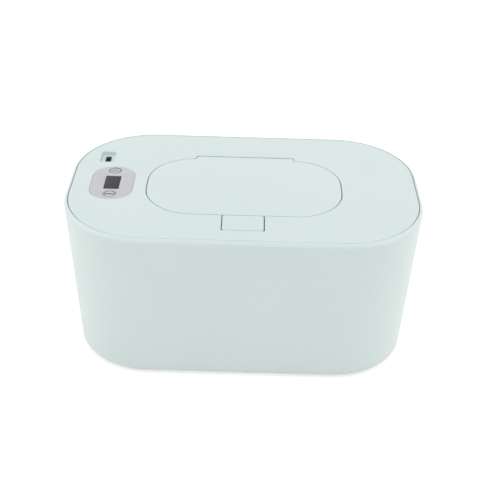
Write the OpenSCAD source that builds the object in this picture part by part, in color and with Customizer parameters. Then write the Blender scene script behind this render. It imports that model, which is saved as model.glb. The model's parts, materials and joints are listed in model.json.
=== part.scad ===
// Baby wipe warmer: a round-cornered casing and tub, a lift-off lid that warms the wipes
// from above, and a flip door with a push-button latch. All sizes are in millimetres.
// The origin is the middle of the footprint on the table: +X runs to the right along the
// length, the front faces -Y, and +Z is up.

/* [Overall size] */
// Length of the casing at its top
body_length = 200; // [196:1:230]
// Depth of the casing at its top, front to back
body_depth = 120; // [118:1:140]
// Height from the table to the flush top
body_height = 95; // [90:1:120]
// Radius of the casing's four upright corners at the top
corner_r = 46; // [42:0.5:50]
// How far each wall leans in from the top down to the table
wall_lean = 4.2; // [3:0.1:5.5]

/* [Casing] */
// Wall thickness of the casing
shell_wall = 2; // [1.6:0.1:2.6]
// Floor thickness of the casing
shell_floor = 2.6; // [2.2:0.1:3.4]
// Rounding of the rim's outer edge
rim_round = 1.4; // [0.6:0.1:1.5]
// Rounding of the casing's bottom edge
foot_round = 3; // [2.6:0.1:5]
// Height of the pads inside the floor that the tub's bosses stand on
floor_pad_h = 1.5; // [1:0.1:2.2]
// Radius of those pads
floor_pad_r = 5; // [4.6:0.1:7]

/* [Tub] */
// Wall thickness of the tub
tub_wall = 1.6; // [1.2:0.1:2]
// Floor thickness of the tub
tub_floor = 1.6; // [1.4:0.1:2.4]
// Height of the tub's underside above the casing's floor
tub_lift = 3.9; // [3:0.1:6]
// Inside rounding along the tub's bottom edge
tub_round = 8; // [4:0.5:12]
// Thickness of the flange round the tub's mouth
tub_flange_t = 1.6; // [1.2:0.1:2.4]
// Radius of the screw bosses under the tub
tub_boss_r = 3.5; // [3:0.1:4.5]

/* [Insulation] */
// Thickness of the foam round the tub
wrap_t = 3; // [2:0.1:3.4]
// Gap between the foam and the walls beside it
foam_gap = 0.4; // [0.2:0.1:0.8]
// Gap left between the foam sheet and the tub above it
sheet_gap = 0.4; // [0.2:0.1:0.8]

/* [Feet] */
// Radius of a rubber foot
foot_r = 7; // [6:0.1:9]
// How far the feet lift the casing off the table
foot_stand = 1.5; // [1:0.1:3]
// Depth of the recess that a foot is glued into
foot_seat = 1; // [0.6:0.1:1.2]
// Bevel round the foot's lower edge
foot_bevel = 0.5; // [0.2:0.1:0.9]
// Distance of the feet from the casing's ends
foot_from_end = 36; // [30:0.5:45]
// Distance of the feet from the casing's front and back
foot_from_side = 32; // [29:0.5:40]

/* [Lid] */
// Depth from the flush top down to the tub's flange
lid_depth = 17; // [16.8:0.1:20]
// Seam between the lid and the casing's rim
lid_gap = 0.35; // [0.25:0.05:0.6]
// Thickness of the lid's top
cover_t = 2.4; // [2:0.1:2.6]
// Thickness of the lid's skirt
skirt_t = 2; // [1.5:0.1:2.3]
// Rounding of the lid's top edge
lid_edge_round = 0.6; // [0.2:0.1:1]
// Gap under the skirt, which leaves the weight to the seal
rest_gap = 0.3; // [0.2:0.1:0.6]
// Radius of the screw bosses under the lid
lid_boss_r = 3; // [2.6:0.1:3.4]
// Distance of the lid's screws from the casing's outline
lid_screw_inset = 17.5; // [17.2:0.1:19]
// Distance between the two screws at the middle of each long side
lid_screw_dx = 52; // [48:1:60]
// Angle of each corner's screw, from the length towards the depth
lid_screw_angle = 70; // [64:1:78]

/* [Lid liner] */
// Thickness of the liner's floor and flange
liner_t = 2; // [1.6:0.1:2.4]
// Thickness of the liner's upright wall
liner_wall = 1.6; // [1.2:0.1:2]
// Distance of the liner's wall from the casing's outline
liner_inset = 12; // [11:0.1:12.4]
// How far the liner's floor hangs below the tub's flange
liner_drop = 2; // [1.5:0.1:3]
// Width of the seal between lid and tub
gasket_w = 2.4; // [2:0.1:2.4]
// Thickness of the seal between lid and tub
gasket_t = 2; // [1.5:0.1:2.5]
// Distance of the seal from the casing's outline
gasket_inset = 5; // [4.9:0.1:5.2]
// Thickness of the lip that keeps the seal in place
seal_lip_t = 1.2; // [1:0.1:1.4]

/* [Flip door] */
// Distance of the flip door's ends from the casing's ends
door_from_end = 45; // [44:0.5:50]
// Depth of the flip door, front to back
door_depth = 61.4; // [58:0.2:64]
// Radius of the flip door's corners
door_r = 26; // [22:0.5:28]
// Middle of the flip door behind the middle of the casing
door_y = -2; // [-3:0.1:0]
// Seam round the flip door and the button
seam_gap = 0.45; // [0.4:0.05:0.6]
// Thickness of the door's outer skin
door_skin = 2; // [1.6:0.1:2.2]
// Height of the door's edge
door_edge_h = 3.4; // [3:0.1:3.6]
// Width of the rib behind the door's edge
door_rib_w = 1.5; // [1.2:0.1:1.6]
// Rounding of the door's top edge
door_round = 0.4; // [0.2:0.1:0.8]
// Depth of the recess that the door closes into
door_drop = 4.6; // [4.5:0.1:5.2]
// Thickness of the recess's floor and walls
recess_t = 2; // [1.6:0.1:2]
// Thickness of the door's inner panel
door_liner_t = 1.4; // [1:0.1:1.4]
// Gap between the inner panel and what it lies beside on the door
door_liner_gap = 0.3; // [0.2:0.05:0.5]
// How far the inner panel's plug reaches below that panel
door_plug_h = 2; // [1:0.1:2.4]
// Gap between that plug and the well's wall
plug_gap = 1.4; // [1:0.1:2]
// Width of the door's seal
door_seal_w = 2; // [1.4:0.1:2.2]
// Distance of the door's seal from the door's edge
door_seal_inset = 4.2; // [4.1:0.1:4.4]
// How deep the door's seal sits in its groove
door_seal_seat = 0.3; // [0.2:0.1:0.6]

/* [Door hinge] */
// Distance of the hinge's axis behind the door's rear edge
hinge_back = 2.5; // [2.4:0.1:3]
// Radius of the door's hinge barrel, and depth of its axis below the top
barrel_r = 1.25; // [1.1:0.05:1.3]
// How far each end of the hinge barrel stands in from the door's corner
barrel_end_in = 0.4; // [0.2:0.1:8]
// Radius of the hinge pin
pin_r = 0.6; // [0.5:0.05:0.65]
// How far the pin reaches into the lid at each end
pin_hold = 3; // [2:0.1:4]
// Running clearance between the pin and the barrel
pin_gap = 0.05; // [0.03:0.01:0.08]
// Clearance of the pin where the lid holds it
pin_seat_gap = 0.02; // [0.01:0.01:0.03]

/* [Dispensing opening] */
// Depth of the well's floor below the flush top
well_drop = 12; // [11:0.1:12.4]
// Distance of the well's wall inside the door's edge
well_inset = 7; // [6.9:0.1:8]
// Thickness of the well's walls and floor
well_t = 2; // [1.6:0.1:2]
// Distance of the dispensing opening's ends from the well's ends
throat_end = 16; // [13:0.5:22]
// Width of the opening that the wipes are pulled through
throat_width = 26; // [20:0.5:28]
// Wall thickness of the throat
throat_wall = 1.6; // [1.2:0.1:2]
// Height of the rounded lip above the well's floor
throat_lip = 1.2; // [0.8:0.1:2]
// How far the throat ends above the heater plate's lower face
throat_clear = 1.6; // [1:0.1:2.4]
// Gap between the throat and what it passes through
throat_gap = 0.4; // [0.2:0.1:0.8]

/* [Button and latch] */
// Width of the release button
button_width = 22.4; // [22:0.1:24]
// Depth of the release button, front to back
button_depth = 14.55; // [14.2:0.05:15.4]
// Thickness of the button's cap
button_cap_t = 2.2; // [1.8:0.1:2.4]
// How far the button presses in
button_travel = 1.5; // [1:0.1:1.6]
// Height of the button's side skirts
button_skirt_h = 4.4; // [4.2:0.1:4.6]
// Thickness of the button's side skirts
button_skirt_t = 1.2; // [1:0.1:1.3]
// How far the button's side skirts stand in from its sides
button_skirt_in = 0.4; // [0.3:0.1:0.5]
// Reach of the side skirts in front of the button's middle
button_skirt_front = 5; // [4.5:0.1:5.5]
// Reach of the side skirts behind the button's middle
button_skirt_rear = 4.2; // [3.8:0.1:4.4]
// Depth of the guide sleeve below the lid's top
sleeve_h = 2.8; // [2.4:0.1:3]
// Thickness of the guide sleeve
sleeve_t = 1.6; // [1.2:0.1:1.8]
// How far the button's stop lugs reach out
lug_reach = 1.6; // [1.4:0.1:1.8]
// Width of a stop lug, front to back
lug_width = 6; // [4:0.5:7]
// Gap between the stop lugs and the sleeve above them
lug_gap = 0.4; // [0.2:0.1:0.6]
// Width of each sloping cam blade under the button
cam_w = 1.6; // [1.2:0.1:1.8]
// Thickness of a cam blade, square to its slope
cam_t = 1.4; // [1:0.1:1.5]
// Distance of each cam blade from the button's middle, along the length
cam_x = 5.4; // [5.2:0.1:5.7]
// How far the cam blades stand behind the button's middle
cam_back = 0.6; // [0.4:0.1:0.8]
// Room round the cam blades in the bracket's deck
cam_room = 0.5; // [0.4:0.1:0.6]
// Depth of the latch bracket's deck below the flush top
latch_drop = 9; // [8.9:0.1:9.6]
// Thickness of the latch bracket's deck
latch_deck_t = 1.6; // [1.2:0.1:2]
// Thickness of the latch slider
slider_t = 1.6; // [1.4:0.1:1.6]
// Width of the latch slider
slider_width = 16; // [15.6:0.1:16.4]
// Sliding gap round the latch slider
slide_gap = 0.2; // [0.1:0.05:0.25]
// Thickness of the rails beside the slider
rail_t = 1; // [0.8:0.1:1]
// How far the bracket reaches past the slider's travel, front and rear
bracket_reach = 0.8; // [0.6:0.1:1]
// Width of the latch nose
nose_width = 10; // [8:0.5:12]
// Gap that the latch nose keeps to the door's catch
nose_gap = 0.6; // [0.55:0.05:0.7]
// Width of the door's catch
catch_width = 12; // [8:0.5:13]
// Thickness of the door's catch
catch_t = 1.6; // [1.2:0.1:1.7]
// Distance of the catch behind the door's front edge
catch_back = 1.7; // [1.65:0.05:1.8]
// How far the catch's lip stands forward
catch_lip = 1; // [0.8:0.1:1.1]
// Height of the catch's lip
catch_lip_h = 1.4; // [1:0.1:1.6]
// Gap at each side of the catch in its slot
catch_gap = 1; // [0.5:0.1:1.2]
// Room behind the catch in its slot
catch_room = 0.6; // [0.5:0.05:0.65]
// Distance of the latch screws from the middle, along the length
latch_screw_x = 16.5; // [16.4:0.1:17.5]
// How far the latch screws stand in front of the button's middle
latch_screw_front = 0.6; // [0:0.1:1]
// Wire radius of the button's spring
spring_wire_r = 0.25; // [0.2:0.01:0.3]
// Radius of the button's spring to the middle of its wire
spring_r = 1.9; // [1.5:0.1:2]
// Turns of the button's spring
spring_turns = 5; // [4:1:6]
// How far the spring stands in front of the button's middle
spring_front = 1.1; // [0.8:0.1:1.3]
// Gap between the spring's ends and what they push on
spring_end_gap = 0.1; // [0.05:0.05:0.2]

/* [Heater] */
// Distance of the heater plate's edge from the casing's outline
plate_inset = 24; // [23:0.5:26]
// Thickness of the heater plate
plate_t = 1.2; // [0.8:0.1:1.6]
// Thickness of the film heater
film_t = 0.4; // [0.2:0.1:0.6]
// Thickness of the felt above the heater
felt_t = 2; // [1.8:0.1:3]
// Gap between the heater's layers and the plate's upturned edge
layer_gap = 0.4; // [0.2:0.1:0.8]
// Distance between the heater plate's opening and the throat
plate_open_gap = 2.4; // [2:0.1:4]
// Distance of the heater's screws from the plate's ends
heater_screw_end = 31; // [26:0.5:36]
// Distance of the heater's screws from the plate's front and back
heater_screw_side = 9; // [8:0.5:10]
// Height of the heater's screw bosses on the liner
heater_boss_h = 3; // [2:0.1:3.2]
// Length of the thermal cut-off
cutoff_length = 9; // [7:0.1:11]
// Width of the thermal cut-off
cutoff_width = 3.6; // [2.5:0.1:4.5]
// Height of the thermal cut-off
cutoff_h = 1.8; // [1.2:0.1:1.9]
// Distance of the cut-off behind the heater's leads
cutoff_back = 12; // [10:0.5:16]
// Distance of the cut-off's middle from the sensor's leads, along the length
cutoff_dx = 2; // [0:0.1:4]
// Radius of the temperature sensor's bead
sensor_r = 0.9; // [0.6:0.05:1]
// Radius of the leads
lead_r = 0.4; // [0.3:0.05:0.5]
// Distance between the two leads of a pair
lead_pitch = 1.8; // [1.4:0.1:2]
// Bend radius of the sensor's leads
lead_bend = 1.5; // [1:0.1:2]
// Distance of the heater's leads from the panel's middle, along the length
lead_dx = 5; // [4.6:0.1:5.4]
// Distance of the sensor's leads from the heater's leads
sensor_lead_dx = 5; // [4.6:0.1:5.4]
// Distance of the sensor's bead from its upright leads
sensor_reach = 8; // [6:0.5:12]
// Distance of all leads in front of the panel's middle
lead_front = 6.3; // [6:0.1:6.6]
// Length of the slot that the leads pass through
leads_slot_length = 9; // [8.4:0.1:10]
// Width of the slot that the leads pass through
leads_slot_width = 4.4; // [4:0.1:5]

/* [Control panel] */
// Distance of the panel's middle from the casing's left end
panel_from_end = 25; // [24:0.1:25.5]
// Middle of the panel behind the middle of the casing
panel_y = -1.6; // [-3:0.1:0]
// Width of the panel between its straight sides
panel_width = 24; // [23:0.1:25]
// Radius of the panel's round front and rear ends
panel_end_r = 18; // [17.8:0.05:19]
// Rounding of the panel's four corners
panel_corner_r = 10.5; // [9:0.1:11]
// Thickness of the panel
panel_t = 1; // [0.6:0.1:1.2]
// Clearance round the panel, the window and other set-in pieces
fit_gap = 0.1; // [0.05:0.05:0.2]
// Width of the display window
window_width = 8.7; // [8:0.1:9.6]
// Depth of the display window, front to back
window_depth = 14.6; // [12:0.1:15]
// Width of the ledge that the display window rests on
window_ledge = 0.6; // [0.4:0.1:0.8]
// Radius of a key
key_r = 3.65; // [3.2:0.05:3.8]
// Running gap round a key
key_gap = 0.2; // [0.15:0.05:0.3]
// Distance of the power key behind the panel's middle
power_key_dy = 13.3; // [13:0.1:13.5]
// Distance of the mode key in front of the panel's middle
mode_key_dy = 12.7; // [12.4:0.1:13]
// How far a key presses in
key_travel = 0.4; // [0.2:0.05:0.5]
// Width of the collar that keeps a key in
key_collar = 0.9; // [0.7:0.1:1]
// Thickness of that collar
key_collar_t = 1; // [0.8:0.1:1.2]
// Gap between that collar and the lid above it
key_collar_gap = 0.4; // [0.2:0.1:0.6]
// Radius of a key's stem
key_stem_r = 1.6; // [1.2:0.1:2]

/* [Electronics] */
// Depth of the board's upper face below the flush top
board_drop = 9.6; // [9.2:0.1:9.6]
// Thickness of the board
board_t = 1.6; // [1.2:0.1:1.6]
// Reach of the board from the panel's middle towards the end
board_left = 11.5; // [11:0.1:12]
// Reach of the board from the panel's middle towards the door
board_right = 13; // [12:0.1:14]
// Reach of the board in front of the panel's middle
board_front = 19.3; // [19:0.1:21]
// Distance of the board's rear edge from the casing's back
board_from_back = 24.5; // [24.3:0.1:25.3]
// Radius of the bosses that hold the board
board_boss_r = 2.6; // [2.2:0.1:2.7]
// Distance of the board's screws from its edges
board_screw_inset = 3; // [2.8:0.1:3.2]
// Distance of the left rear screw from the board's rear edge, clear of the inlet
board_inlet_inset = 21; // [20:0.5:22]
// Side of a tact switch
switch_side = 6; // [5:0.1:6.4]
// Height of a tact switch's body
switch_h = 3.6; // [3:0.1:4]
// Radius of a tact switch's plunger
plunger_r = 1.75; // [1.4:0.05:1.9]
// How deep a plunger reaches into its switch
plunger_seat = 1; // [0.8:0.1:1.4]
// Room left under a plunger that is pressed in
plunger_room = 0.2; // [0.1:0.1:0.4]
// How far a plunger stands out of its switch
plunger_out = 1.6; // [1.2:0.1:2]
// Width of the digit module
digits_width = 9.6; // [8:0.1:10.4]
// Depth of the digit module, front to back
digits_depth = 15; // [13:0.1:16]
// Gap between the digit module and the lid above it
digits_gap = 0.2; // [0.1:0.1:0.5]
// Length of the controller chip
chip_length = 8.7; // [5:0.1:10]
// Width of the controller chip
chip_width = 5.2; // [4:0.1:8]
// Height of the controller chip
chip_h = 1.6; // [0.8:0.1:2.4]
// Distance of the chip behind the panel's middle
chip_back = 2; // [0:0.5:3]
// Distance of the chip and the transistor to the right of the panel's middle
chip_dx = 1; // [0:0.5:2]
// Length of the power transistor
transistor_length = 6.6; // [4:0.1:8]
// Width of the power transistor
transistor_width = 6.2; // [4:0.1:8]
// Height of the power transistor
transistor_h = 2.3; // [1:0.1:3]
// Distance of the transistor behind the panel's middle
transistor_back = 12; // [11:0.5:16]
// Radius of the filter capacitor
capacitor_r = 2.5; // [2:0.1:3]
// Height of the filter capacitor
capacitor_h = 4; // [3:0.1:5]
// Distance of the capacitor from the board's edge that faces the door
capacitor_inset = 4; // [3.4:0.1:5]
// Distance of the capacitor behind the panel's middle
capacitor_back = 22; // [20:0.5:26]
// Length of the lead connector
connector_length = 9; // [8:0.1:10]
// Width of the lead connector
connector_width = 5; // [4:0.1:6]
// Gap between the lead connector and the liner's floor
connector_clear = 1.8; // [1:0.1:3]

/* [Power inlet] */
// Distance of the inlet's middle from the casing's left end
inlet_from_end = 18.5; // [18:0.1:19]
// Distance of the inlet's middle from the board's rear edge
inlet_from_edge = 7; // [6.5:0.1:8]
// Width of the inlet's pocket
pocket_width = 8.3; // [8:0.1:9]
// Length of the inlet's pocket, front to back
pocket_length = 12.5; // [12:0.1:13]
// Corner radius of the inlet's pocket
pocket_r = 1.2; // [0.8:0.1:2]
// Depth of the inlet's pocket
pocket_drop = 2.4; // [2:0.1:2.6]
// Wall and floor thickness of the inlet's pocket
pocket_t = 1.4; // [1:0.1:1.6]
// Width of the socket's steel shell
usb_width = 8.94; // [8.9:0.02:9]
// Thickness of the socket's steel shell
usb_height = 3.2; // [3.1:0.02:3.3]
// Sheet thickness of the socket's steel shell
usb_sheet = 0.3; // [0.2:0.05:0.35]
// Width of the socket's tongue
tongue_width = 6.7; // [6:0.05:6.8]
// Thickness of the socket's tongue
tongue_t = 0.7; // [0.6:0.05:0.8]
// How far the tongue ends below the socket's mouth
tongue_drop = 0.6; // [0.4:0.1:1]
// Thickness of the socket's base
usb_base_t = 1.6; // [1.2:0.1:2]
// Gap round the socket in the pocket's floor
usb_gap = 0.2; // [0.1:0.05:0.4]

/* [Screws] */
// Radius of the casing's and liner's screws
screw_r = 1.4; // [1.2:0.05:1.5]
// Head radius of those screws
screw_head_r = 2.7; // [2.4:0.1:2.9]
// Head height of those screws
screw_head_h = 1.4; // [1:0.1:1.4]
// Radius of the small screws for the board and the latch
small_screw_r = 1; // [0.8:0.05:1.1]
// Head radius of the small screws
small_head_r = 1.9; // [1.6:0.1:2]
// Head height of the small screws
small_head_h = 1.1; // [0.8:0.1:1.2]
// Clearance round a screw where it passes through a hole
screw_clear = 0.25; // [0.15:0.05:0.4]
// Clearance round a screw in its pilot hole
thread_gap = 0.05; // [0.03:0.01:0.1]
// How deep a screw reaches into its boss
screw_bite = 7; // [5:0.5:9]
// How deep a small screw reaches into its boss
small_bite = 4; // [3:0.5:5]
// Depth left free below a screw's tip
tip_gap = 0.5; // [0.3:0.1:1]

/* [Hidden] */
$fn = 64;
eps = 0.01;
over = 1;

mint = "#d8e8e6";
white = "#f2f3f1";
panel_grey = "#c8c9d0";
steel = "#b9bcc0";
rubber = "#4c4f52";

// Corner centres of the casing, from which every ring of it is measured
corner_x = body_length / 2 - corner_r;
corner_y = body_depth / 2 - corner_r;
lean_angle = atan(wall_lean / body_height);

// Heights of the casing and the tub
floor_top = foot_stand + shell_floor;
pad_top = floor_top + floor_pad_h;
tub_z = floor_top + tub_lift;
head_seat_z = foot_stand + foot_seat;
clamp_z = head_seat_z + screw_head_h;

// Rings of the tub, the foam and the seal, measured in from the casing's outline
wrap_inset = shell_wall + foam_gap;
tub_inset = wrap_inset + wrap_t + foam_gap;
cover_inset = shell_wall + lid_gap;
skirt_inset = cover_inset + skirt_t;
seal_lip_inset = gasket_inset + gasket_w + 2 * fit_gap;

// Heights of the lid
lid_seat_z = body_height - lid_depth;
cover_under = body_height - cover_t;
skirt_z = lid_seat_z + rest_gap;
liner_z = lid_seat_z - liner_drop;
liner_top = liner_z + liner_t;
flange_z = lid_seat_z + gasket_t;
flange_top = flange_z + liner_t;
lid_boss_ring = corner_r - lid_screw_inset;

// Door, hinge and recess
door_half = body_length / 2 - door_from_end;
door_x = door_half - door_r;
door_dy = door_depth / 2 - door_r;
door_front = door_y - door_depth / 2;
door_rear = door_y + door_depth / 2;
ledge_z = body_height - door_drop;
ledge_under = ledge_z - recess_t;
door_under = body_height - door_edge_h;
skin_under = body_height - door_skin;
hinge_y = door_rear + hinge_back;
hinge_z = body_height - barrel_r;
barrel_half = door_x - barrel_end_in;
pocket_half = barrel_half + seam_gap;
hinge_rear = hinge_y + barrel_r + seam_gap;
door_liner_z = skin_under - door_liner_t;
door_liner_inset = door_rib_w + door_liner_gap;
door_plug_inset = well_inset + plug_gap;

// Well and throat
well_z = body_height - well_drop;
well_under = well_z - well_t;
throat_r = throat_width / 2;
throat_x = door_half - well_inset - throat_end - throat_r;
heater_top = liner_z;
felt_z = heater_top - felt_t;
film_z = felt_z - film_t;
plate_z = film_z - plate_t;
throat_z = plate_z + throat_clear;
plate_open_r = throat_r + throat_wall + plate_open_gap;

// Button and latch
button_rear = door_front - seam_gap;
button_front = button_rear - button_depth;
button_y = (button_rear + button_front) / 2;
cap_under = body_height - button_cap_t;
sleeve_z = cover_under - sleeve_h;
skirt_half = button_width / 2 - button_skirt_in;
lug_top = sleeve_z - lug_gap;
lug_z = cap_under - button_skirt_h;
sleeve_rear = button_rear - recess_t;
deck_z = body_height - latch_drop;
slider_z = deck_z + slide_gap;
slider_top = slider_z + slider_t;
lip_top = slider_z - slide_gap;
lip_z = lip_top - catch_lip_h;
catch_front = door_front + catch_back;
lip_front = catch_front - catch_lip;
nose_tip = lip_front - nose_gap;
slider_rear = sleeve_rear;
slider_front = button_front + button_travel + slide_gap;
cam_level = slider_z + slider_t / 2;
cam_y = button_y + cam_back;
cam_flat = cam_t / cos(45);
spring_y = button_y - spring_front;
spring_room = spring_r + spring_wire_r + 2 * slide_gap;
latch_boss_y = button_y - latch_screw_front;

// Panel, keys and board
panel_x = panel_from_end - body_length / 2;
panel_seat = body_height - panel_t;
key_z = cover_under - key_collar_gap - key_collar_t;
board_top = body_height - board_drop;
board_z = board_top - board_t;
board_back = body_depth / 2 - board_from_back;
plunger_top = board_top + switch_h + plunger_out;
inlet_x = inlet_from_end - body_length / 2;
inlet_y = board_back - inlet_from_edge;
pocket_z = body_height - pocket_drop;
lead_x = panel_x + lead_dx;
sensor_lead_x = lead_x + sensor_lead_dx;
lead_y = panel_y - lead_front;
sensor_x = sensor_lead_x + sensor_reach;
leads_mid_x = (lead_x + sensor_lead_x) / 2;
cutoff_x = sensor_lead_x + cutoff_dx;
cutoff_y = lead_y + cutoff_back;
connector_z = liner_top + connector_clear;

key_spots = [[panel_x, panel_y + power_key_dy], [panel_x, panel_y - mode_key_dy]];
foot_x = body_length / 2 - foot_from_end;
foot_y = body_depth / 2 - foot_from_side;
feet = [for (sx = [-1, 1], sy = [-1, 1]) [sx * foot_x, sy * foot_y]];
lid_screw_spots = concat(
    [for (sx = [-1, 1], sy = [-1, 1])
        [sx * (corner_x + lid_boss_ring * cos(lid_screw_angle)),
         sy * (corner_y + lid_boss_ring * sin(lid_screw_angle))]],
    [for (sx = [-1, 1], sy = [-1, 1]) [sx * lid_screw_dx / 2, sy * (corner_y + lid_boss_ring)]]);
heater_screw_x = body_length / 2 - plate_inset - heater_screw_end;
heater_screw_y = body_depth / 2 - plate_inset - heater_screw_side;
heater_screw_spots = [for (sx = [-1, 1], sy = [-1, 1]) [sx * heater_screw_x, sy * heater_screw_y]];
board_screw_spots = [
    [panel_x - board_left + board_screw_inset, panel_y - board_front + board_screw_inset],
    [panel_x + board_right - board_screw_inset, panel_y - board_front + board_screw_inset],
    [panel_x + board_right - board_screw_inset, board_back - board_screw_inset],
    [panel_x - board_left + board_screw_inset, board_back - board_inlet_inset]];

// Radius of the casing's ring, an inset in from its outline, at a height
function side_r(inset, z) = corner_r - inset - wall_lean * (1 - z / body_height);

// ---- shared shapes ----

// Half section of a leaning block, with its lower and upper outer edges rounded
module block_section(inset, z0, z1, low_round = 0, top_round = 0) {
    along = [cos(lean_angle), -sin(lean_angle)];
    low_c = [side_r(inset, z0 + low_round) - low_round / cos(lean_angle), z0 + low_round];
    top_c = [side_r(inset, z1 - top_round) - top_round / cos(lean_angle), z1 - top_round];
    low_edge = low_round > 0
        ? [[low_c.x, z0], low_c, low_c + low_round * along]
        : [[side_r(inset, z0), z0]];
    top_edge = top_round > 0
        ? [top_c + top_round * along, top_c, [top_c.x, z1]]
        : [[side_r(inset, z1), z1]];
    polygon(concat([[0, z0]], low_edge, top_edge, [[0, z1]]));
    if (low_round > 0) translate(low_c) circle(low_round);
    if (top_round > 0) translate(top_c) circle(top_round);
}

// Half section of a leaning band between two insets
module band_section(inset_out, inset_in, z0, z1) {
    polygon([[side_r(inset_in, z0), z0], [side_r(inset_out, z0), z0],
        [side_r(inset_out, z1), z1], [side_r(inset_in, z1), z1]]);
}

// Carries a half section round a rectangle whose corner centres are half_x and half_y out
module carried_round(half_x, half_y) {
    for (turn = [0:3]) {
        reach = turn % 2 == 0 ? half_x : half_y;
        span = turn % 2 == 0 ? half_y : half_x;
        rotate(90 * turn) translate([reach, span, 0]) {
            rotate_extrude(angle = 90) children();
            if (span > 0) rotate([90, 0, 0]) linear_extrude(2 * span) children();
        }
    }
}

// The block between the corner centres, which closes a carried section in the middle
module middle_block(half_x, half_y, z0, z1) {
    translate([-half_x, -half_y, z0]) cube([2 * half_x, 2 * half_y, z1 - z0]);
}

// Plan of a rectangle with round corners, or of a slot where half_y is 0
module round_plan(half_x, half_y, r) {
    for (sx = [-1, 1], sy = [-1, 1]) translate([sx * half_x, sy * half_y]) circle(r);
    square([2 * half_x, 2 * (half_y + r)], center = true);
    if (half_y > 0) square([2 * (half_x + r), 2 * half_y], center = true);
}

// A plate of a rounded plan between two heights
module plate(half_x, half_y, r, z0, z1) {
    translate([0, 0, z0]) linear_extrude(z1 - z0) round_plan(half_x, half_y, r);
}

// A plate of the casing's own plan, an inset in, between two heights
module casing_plate(inset, z0, z1) {
    plate(corner_x, corner_y, corner_r - inset, z0, z1);
}

// A plate of the door's own plan, an inset in, between two heights
module door_plate(inset, z0, z1) {
    translate([0, door_y, 0]) plate(door_x, door_dy, door_r - inset, z0, z1);
}

// A slot of the throat's plan, with any radius, between two heights
module throat_plate(r, z0, z1) {
    translate([0, door_y, 0]) plate(throat_x, 0, r, z0, z1);
}

// A box between two corners
module box(low, high) {
    translate(low) cube(high - low);
}

// An upright pin or hole between two heights
module post(spot, r, z0, z1) {
    translate([spot.x, spot.y, z0]) cylinder(r = r, h = z1 - z0);
}

// A screw driven upwards: its head hangs below seat_z and its tip ends at tip_z
module screw_up(spot, seat_z, tip_z, r, head_r, head_h) {
    difference() {
        post(spot, head_r, seat_z - head_h, seat_z);
        translate([spot.x, spot.y, seat_z - head_h - eps])
            linear_extrude(head_h / 2)
                for (turn = [0, 90]) rotate(turn) square([head_r, head_r / 4], center = true);
    }
    post(spot, r, seat_z - eps, tip_z);
}

// ---- casing, tub and feet ----

module body_shell() {
    color(mint) difference() {
        union() {
            carried_round(corner_x, corner_y) difference() {
                block_section(0, foot_stand, body_height, foot_round, rim_round);
                block_section(shell_wall, floor_top, body_height + over, foot_round - shell_wall);
            }
            middle_block(corner_x, corner_y, foot_stand, floor_top);
            for (spot = feet) post(spot, floor_pad_r, floor_top - eps, pad_top);
        }
        for (spot = feet) {
            post(spot, foot_r + fit_gap, foot_stand - over, head_seat_z);
            post(spot, screw_head_r + screw_clear, foot_stand - over, clamp_z);
            post(spot, screw_r + screw_clear, foot_stand, pad_top + over);
        }
    }
}

module wipe_tub() {
    color(white) difference() {
        union() {
            carried_round(corner_x, corner_y) {
                difference() {
                    block_section(tub_inset, tub_z, lid_seat_z, tub_round + tub_wall);
                    block_section(tub_inset + tub_wall, tub_z + tub_floor, lid_seat_z + over,
                        tub_round);
                }
                band_section(wrap_inset, tub_inset + tub_wall / 2, lid_seat_z - tub_flange_t,
                    lid_seat_z);
            }
            middle_block(corner_x, corner_y, tub_z, tub_z + tub_floor);
            for (spot = feet) post(spot, tub_boss_r, pad_top, tub_z + eps);
        }
        for (spot = feet) post(spot, screw_r + thread_gap, pad_top - over, tub_z + tub_floor / 2);
    }
}

module insulation_wrap() {
    color("#e9e6dc") carried_round(corner_x, corner_y)
        band_section(wrap_inset, wrap_inset + wrap_t, tub_z - sheet_gap,
            lid_seat_z - tub_flange_t - foam_gap);
}

module insulation_base() {
    color("#e9e6dc") difference() {
        plate(corner_x, corner_y, side_r(wrap_inset + foot_round - shell_wall, floor_top),
            floor_top, tub_z - sheet_gap);
        for (spot = feet) post(spot, floor_pad_r + foam_gap, floor_top - over, tub_z);
    }
}

module tub_screws() {
    color(steel) for (spot = feet)
        screw_up(spot, clamp_z, tub_z + tub_floor / 2 - tip_gap / 2, screw_r, screw_head_r,
            screw_head_h);
}

// One rubber foot, by the side of the length and of the depth that it stands on
module foot(side_x, side_y) {
    color(rubber) translate([side_x * foot_x, side_y * foot_y, 0]) {
        cylinder(r1 = foot_r - foot_bevel, r2 = foot_r, h = foot_bevel);
        translate([0, 0, foot_bevel]) cylinder(r = foot_r, h = head_seat_z - foot_bevel);
    }
}

// ---- lid ----

module lid_cover() {
    color(mint) {
        difference() {
            union() {
                lid_skin();
                recess_body();
                for (spot = lid_screw_spots) post(spot, lid_boss_r, liner_top, cover_under + eps);
                for (spot = board_screw_spots)
                    post(spot, board_boss_r, board_top, cover_under + eps);
                for (side = [-1, 1]) post([side * latch_screw_x, latch_boss_y], board_boss_r,
                    deck_z, cover_under + eps);
                button_sleeve();
                translate([inlet_x, inlet_y, 0])
                    plate(pocket_width / 2 - pocket_r, pocket_length / 2 - pocket_r,
                        pocket_r + pocket_t, pocket_z - pocket_t, cover_under + eps);
            }
            door_recess();
            button_opening();
            panel_openings();
            inlet_openings();
            for (spot = lid_screw_spots)
                post(spot, screw_r + thread_gap, liner_top - over, liner_top + screw_bite + tip_gap);
            for (spot = board_screw_spots)
                post(spot, small_screw_r + thread_gap, board_top - over,
                    board_top + small_bite + tip_gap);
            for (side = [-1, 1])
                post([side * latch_screw_x, latch_boss_y], small_screw_r + thread_gap,
                    deck_z - over, deck_z + small_bite + tip_gap);
        }
        throat();
    }
}

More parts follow.
